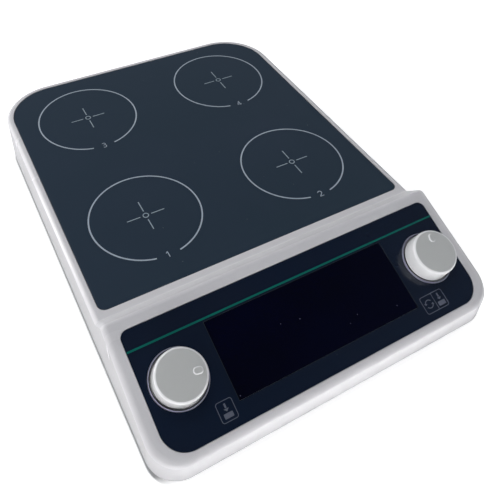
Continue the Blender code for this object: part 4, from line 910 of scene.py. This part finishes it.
# Knobs
def knob_profile():
    """Crown, rounded edge, tapered side, rolled skirt, and the hollow with its hub."""
    skirt = -KNOB_SKIRT
    inside = KNOB_BASE_RADIUS - KNOB_WALL
    taper = (KNOB_TOP_RADIUS - KNOB_BASE_RADIUS) / (KNOB_HEIGHT + KNOB_SKIRT)
    lean = atan(-taper)
    hub_low = NECK_RISE + KNOB_TRAVEL + SEAT
    roof = KNOB_HEIGHT - KNOB_WALL
    bore = SHAFT_RADIUS + SEAT
    hub = bore + KNOB_HUB_WALL
    shaft_top = hub_low + SHAFT_IN_KNOB + SEAT
    flat = KNOB_TOP_RADIUS - KNOB_EDGE_ROUND
    crown = [(flat * t, KNOB_HEIGHT + KNOB_CROWN * (1 - t * t)) for t in (0, 0.2, 0.4, 0.6, 0.8)]
    edge = arc((flat, KNOB_HEIGHT - KNOB_EDGE_ROUND), KNOB_EDGE_ROUND, pi / 2, lean, 10)
    roll = arc((KNOB_BASE_RADIUS - KNOB_ROLL, skirt + KNOB_ROLL), KNOB_ROLL, lean, -pi / 2, 4)
    return [
        *crown, *edge, *roll, (inside, skirt), (inside + taper * (roof - skirt), roof),
        (hub, roof), (hub, hub_low), (bore, hub_low), (bore, shaft_top), (0, shaft_top),
    ]


def pointer_pad():
    """A low pad with round ends and a sloped edge, sunk a little into the knob's top."""
    across, along = POINTER_WIDTH / 2, POINTER_LENGTH / 2
    bm = bmesh.new()
    rings = []
    lean = atan2(POINTER_SLOPE, POINTER_RISE)
    heights = [(POINTER_SLOPE, -POINTER_RISE), (POINTER_SLOPE, 0)]
    heights += arc((-POINTER_ROUND, POINTER_RISE - POINTER_ROUND), POINTER_ROUND, lean, pi / 2, 5)
    for grow, height in heights:
        half = across + grow
        corner = half * 0.999  # so that the ends keep a short straight side
        line = rounded_rectangle((-along - grow, along + grow), (-half, half), corner, corner, 10)
        rings.append([bm.verts.new((x, y, height)) for x, y in line])
    count = len(rings[0])
    for low, high in zip(rings, rings[1:]):
        for k in range(count):
            bm.faces.new((low[k], low[(k + 1) % count], high[(k + 1) % count], high[k]))
    bm.faces.new(rings[-1])
    bm.faces.new(rings[0][::-1])
    return to_solid(bm)


def make_knob(side, way):
    """A knob with its pointer pad, and the ring round its hole. way is -1 for left and 1 for right."""
    axis = PANEL @ at(way * KNOB_X, 0, 0)
    facing = axis @ turned_by(POINTERS[side], "Z")
    knob = piece(f"knob_cap_{side}", turned(knob_profile()), KNOB_PLASTIC, facing)
    carve(knob, "UNION", tool(pointer_pad(), facing @ at(POINTER_RADIUS, 0, KNOB_HEIGHT)))
    shade(knob, 28)
    stand_for(knob, f"knob_{side}", f"turn_{side}")
    bead = KNOB_RING_WALL / 2
    over = arc((RING_INNER + bead, KNOB_RING_RISE - bead), bead, 0, pi, 10)
    ring = turned([*over, (RING_INNER, PANEL_BACK), (RING_OUTER, PANEL_BACK)])
    trim = piece(f"knob_trim_{side}", ring, RING_PLASTIC, axis)
    shade(trim, 40)
    stand_for(trim, f"knob_ring_{side}")


# Feet, screws, inlet and switch
def middle_of(node):
    """The middle of a CAD node in plan, and its lowest and highest Z."""
    low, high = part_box(node)
    return (low[0] + high[0]) / 2, (low[1] + high[1]) / 2, low[2], high[2]


def make_feet():
    sole = FOOT_RADIUS - FOOT_TAPER
    edge = arc((sole - FOOT_ROUND, FOOT_ROUND), FOOT_ROUND, -pi / 2, 0, 6)
    for name in ("front_left", "front_right", "rear_left", "rear_right"):
        x, y, _, high = middle_of(f"foot_{name}")
        profile = [
            (0, SOLE_HOLLOW), (sole * HOLLOW_FLAT, SOLE_HOLLOW), (sole * HOLLOW_EDGE, 0), *edge,
            (FOOT_RADIUS, high - FOOT_SHOULDER), (FOOT_RADIUS, high), (0, high),
        ]
        foot = piece(f"rubber_foot_{name}", turned(profile, 48), RUBBER, at(x, y, 0))
        shade(foot)
        stand_for(foot, f"foot_{name}")


def make_screws():
    """Pan heads with a cross recess, pointing up into the bosses."""
    profile = [
        (0, HEAD_HEIGHT), *outer_round(HEAD_RADIUS, HEAD_HEIGHT, HEAD_ROUND, 6), (HEAD_RADIUS, 0),
        (THREAD_RADIUS, 0), (THREAD_RADIUS, -SCREW_LENGTH + SCREW_POINT),
        (THREAD_RADIUS / 2, -SCREW_LENGTH), (0, -SCREW_LENGTH),
    ]
    for i in range(1, 7):
        x, y, low, _ = middle_of(f"case_screw_{i}")
        place = at(x, y, low + HEAD_HEIGHT) @ turned_by(pi, "X") @ turned_by(i * SCREW_TURN, "Z")
        screw = piece(f"cross_screw_{i}", turned(profile, 32), STEEL, place)
        slots = [
            tool(box((-x, x), (-y, y), (HEAD_HEIGHT - SLOT_DEPTH, HEAD_HEIGHT + SLOT_CUT)), place)
            for x, y in ((SLOT_REACH, SLOT_HALF), (SLOT_HALF, SLOT_REACH))
        ]
        carve(screw, "DIFFERENCE", *slots)
        shade(screw)
        stand_for(screw, f"case_screw_{i}")


def make_inlet():
    """The round low-voltage inlet, with its pin and contact sleeve."""
    axis = REAR @ at(JACK_OFFSET, 0, 0)
    front, bottom = SEAT + JACK_FLANGE, -JACK_BORE_DEPTH
    lead_centre = (JACK_BORE_RADIUS + JACK_LEAD_ROUND, front - JACK_LEAD_ROUND)
    body = turned(
        [
            (0, bottom), (JACK_BORE_RADIUS, bottom),
            *arc(lead_centre, JACK_LEAD_ROUND, pi, pi / 2, 4),
            *outer_round(JACK_FLANGE_RADIUS, front, JACK_RIM_ROUND, 5),
            (JACK_FLANGE_RADIUS, SEAT), (JACK_BODY_RADIUS, SEAT),
            (JACK_BODY_RADIUS, -JACK_LENGTH), (0, -JACK_LENGTH),
        ],
        64,
    )
    inlet = piece("inlet_body", body, BLACK, axis)
    shade(inlet)
    stand_for(inlet, "dc_jack")
    tip = outer_round(JACK_PIN_RADIUS, -JACK_PIN_SINK, JACK_PIN_ROUND, 5)
    pin = turned([(0, -JACK_PIN_SINK), *tip, (JACK_PIN_RADIUS, bottom), (0, bottom)], 32)
    inner, outer = JACK_BORE_RADIUS - SLEEVE_WALL, JACK_BORE_RADIUS - SLEEVE_GAP
    top = -SLEEVE_SINK
    sleeve = turned([(inner, top), (outer, top), (outer, bottom), (inner, bottom)], 48)
    for name, mesh in (("inlet_pin", pin), ("inlet_sleeve", sleeve)):
        metal = piece(name, mesh, NICKEL, axis)
        shade(metal)
        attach(metal, "housing")


def print_switch():
    """The plain line and circle for on and off, on the rocker's two faces."""
    pivot = REAR @ at(SWITCH_OFFSET, 0, SEAT + SWITCH_FLANGE - ROCKER_PIVOT_SINK)
    pivot = pivot @ turned_by(ROCKER_THROW / 2, "Y")
    half, line = ROCKER_WIDTH / 2, ROCKER_LINE / 2
    slope = atan2(ROCKER_VALLEY, half)
    rise = ROCKER_RISE - ROCKER_VALLEY / 2 + ROCKER_LIFT
    marks = {
        "rocker_line": (-half / 2, slope, bar((-line, line), (-ROCKER_LINE_HALF, ROCKER_LINE_HALF))),
        "rocker_ring": (half / 2, -slope, ring_band(ROCKER_RING, ROCKER_LINE, 0, 2 * pi, 40)),
    }
    for name, (x, turn, shape) in marks.items():
        place = pivot @ at(x, 0, rise) @ turned_by(turn, "Y")
        print_on(name, [shape], MARK_WHITE, place, body="rocker")


def dress_cad_nodes():
    """Finishes for the CAD nodes that no piece stands for, with the edges rounded on those that show."""
    for row in frame["record"]["subparts"]:
        node = frame["nodes"][row["node"]]
        if node.hide_render:
            continue
        for slot in node.material_slots:
            slot.material = SLOT_FINISHES[row["material_slot"]]
        if row["node"] in ("base_pan", "power_switch_frame", "power_rocker"):
            joined = node.modifiers.new("joined_corners", "WELD")
            joined.merge_threshold = NODE_MERGE
            add_bevel(node, NODE_ROUND, 2, 40)
            add_even_shading(node)


# Studio
def make_floor():
    """A pale table that also glows for the camera and in glossy faces: less beside the object, so that its
    shadow shows, and more in front of it, painted light that washes the shadow out there.
    On a thin line at the foot of its side and rear walls it doesn't glow at all: painted shade, a dark
    contact line."""
    bm = bmesh.new()
    bmesh.ops.create_circle(bm, cap_ends=True, segments=ROUND_STEPS, radius=FLOOR_RADIUS)
    floor = add_object("floor", to_mesh(bm))
    pale = bpy.data.materials.new("pale_floor")
    pale.use_nodes = True
    tree = pale.node_tree
    surface = tree.nodes["Principled BSDF"]
    kinds = {
        "rays": ("LightPath", {}),
        "place": ("TexCoord", {}),
        "axes": ("SeparateXYZ", {"Vector": "place.Object"}),
        "behind": calc("GREATER_THAN", "axes.Y", 0.0),
        "corner": calc("MULTIPLY_ADD", "behind.Value", BODY_REAR_RADIUS - FRONT_RADIUS, FRONT_RADIUS),
        "mirrored": vector_calc("ABSOLUTE", "place.Object"),
        "from_sides": vector_calc("SUBTRACT", "mirrored.Vector", (BODY_HALF, BODY_REAR, 1.0)),
        "from_corner": vector_calc("ADD", "from_sides.Vector", "corner.Value"),
        "outside": vector_calc("MAXIMUM", "from_corner.Vector", (0.0, 0.0, 0.0)),
        "reach": vector_calc("LENGTH", "outside.Vector"),
        "gap": calc("SUBTRACT", "reach.Value", "corner.Value"),
        "least": map_range("axes.Y", BODY_FRONT, BODY_FRONT + FRONT_DEPTH, FRONT_LIFT, FLOOR_LIFT),
        "fade": map_range("gap.Value", LIFT_NEAR, LIFT_FAR, "least.Result"),
        "gloss_fade": map_range("gap.Value", LIFT_NEAR, LIFT_FAR, GLOSS_LIFT),
        "contact": map_range("gap.Value", CONTACT_NEAR, CONTACT_FAR, 1.0, 0.0),
        "beside": map_range("axes.Y", BODY_FRONT + CONTACT_FRONT, BODY_FRONT + CONTACT_FULL),
        "dark": calc("MULTIPLY", "contact.Result", "beside.Result"),
        "bright": calc("SUBTRACT", 1.0, "dark.Value"),
        "gloss_or_glass": calc("MAXIMUM", "rays.Is Glossy Ray", "rays.Is Transmission Ray"),
        "mirrored_white": calc("MULTIPLY", "gloss_or_glass.Value", "gloss_fade.Result"),
        "seen_white": calc("MULTIPLY_ADD", "rays.Is Camera Ray", "fade.Result", "mirrored_white.Value"),
        "strength": calc("MULTIPLY", "seen_white.Value", "bright.Value"),
        "white": ("Emission", {"Strength": "strength.Value"}),
        "sum": ("AddShader", {0: "surface.BSDF", 1: "white.Emission"}),
    }
    made = add_nodes(tree, kinds, surface=surface)
    matt = {"Base Color": (0.75, 0.75, 0.75, 1), "Roughness": 0.9, "Specular IOR Level": 0.1}
    set_up(tree, made, surface, matt)
    set_up(tree, made, tree.nodes["Material Output"], {"Surface": "sum.Shader"})
    floor.data.materials.append(pale)


def make_world():
    """A dim grey room, and plain white where the camera looks past the object."""
    world = bpy.data.worlds.new("studio")
    bpy.context.scene.world = world
    world.use_nodes = True
    tree = world.node_tree
    kinds = {
        "way": ("TexCoord", {}),
        "axes": ("SeparateXYZ", {"Vector": "way.Generated"}),
        "height": ("ValToRGB", {"Fac": "axes.Z"}),
        "rays": ("LightPath", {}),
        "white": ("Background", {"Color": (1, 1, 1, 1), "Strength": 1.0}),
        "choice": ("MixShader", {0: "rays.Is Camera Ray", 1: "room.Background", 2: "white.Background"}),
    }
    made = add_nodes(tree, kinds, room=tree.nodes["Background"])
    ramp = made["height"].color_ramp
    ramp.interpolation = "B_SPLINE"
    for place, colour in SKY.items():
        stop = ramp.elements.new(place)
        stop.color = (*colour, 1)
    ramp.elements.remove(ramp.elements[0])
    ramp.elements.remove(ramp.elements[-1])
    set_up(tree, made, made["room"], {"Color": "height.Color"})
    set_up(tree, made, tree.nodes["World Output"], {"Surface": "choice.Shader"})


def add_softbox(name, place, size, level, tint=(1, 1, 1), mirrored=True):
    """An area light that faces the object. level is what it adds to a white face turned to it."""
    lamp = bpy.data.lights.new(name, "AREA")
    lamp.shape, lamp.size, lamp.size_y = "RECTANGLE", *size
    place = Vector(place)
    lamp.energy = level * pi**2 * place.length_squared
    lamp.color = tint
    obj = add_object(name, lamp)
    obj.location, obj.visible_glossy = place, mirrored
    obj.rotation_mode = "QUATERNION"
    obj.rotation_quaternion = (-place).to_track_quat("-Z", "Y")


def add_floor_wash(name, place, lean, level):
    """A spot over the object's edge, whose cone starts straight down and opens to the front, so that
    the table's bounce lights the front wall and the lamp itself doesn't reach the object."""
    lamp = bpy.data.lights.new(name, "SPOT")
    lamp.spot_size, lamp.spot_blend, lamp.shadow_soft_size = 2 * lean, WASH_BLEND, WASH_BULB
    lamp.energy = level * 4 * pi**2 * place[2] ** 2
    obj = add_object(name, lamp)
    obj.location, obj.scale = place, WASH_SCALE
    obj.rotation_euler = (-lean, 0, 0)


make_world()
make_floor()
add_softbox("front_box", (-0.75, -1.3, 0.08), (1.1, 0.28), 0.27, (1.0, 0.985, 0.99))
add_softbox("rear_box", (-0.96, 0.96, 0.63), (0.7, 0.7), 0.2)
add_softbox("left_box", (-1.34, 0.24, 0.63), (0.7, 0.5), 0.27, mirrored=False)
add_softbox("eye_box", (-0.48, -0.89, 1.11), (0.3, 0.3), 0.055)
add_softbox("edge_box", (-1.18, 0.9, 0.16), (0.36, 0.24), 0.2)
add_softbox("top_box", (0.0, 0.363, 1.455), (0.6, 0.6), 0.24, mirrored=False)
add_softbox("right_box", (1.4, -0.12, 0.75), (0.6, 0.6), 0.12)
add_floor_wash("front_wash", (0.0, BODY_FRONT - WASH_GAP, 0.6), radians(22), 2.6)
make_housing()
make_glass()
print_stations()
make_panel()
print_panel()
make_knob("left", -1)
make_knob("right", 1)
make_feet()
make_screws()
make_inlet()
print_switch()
dress_cad_nodes()
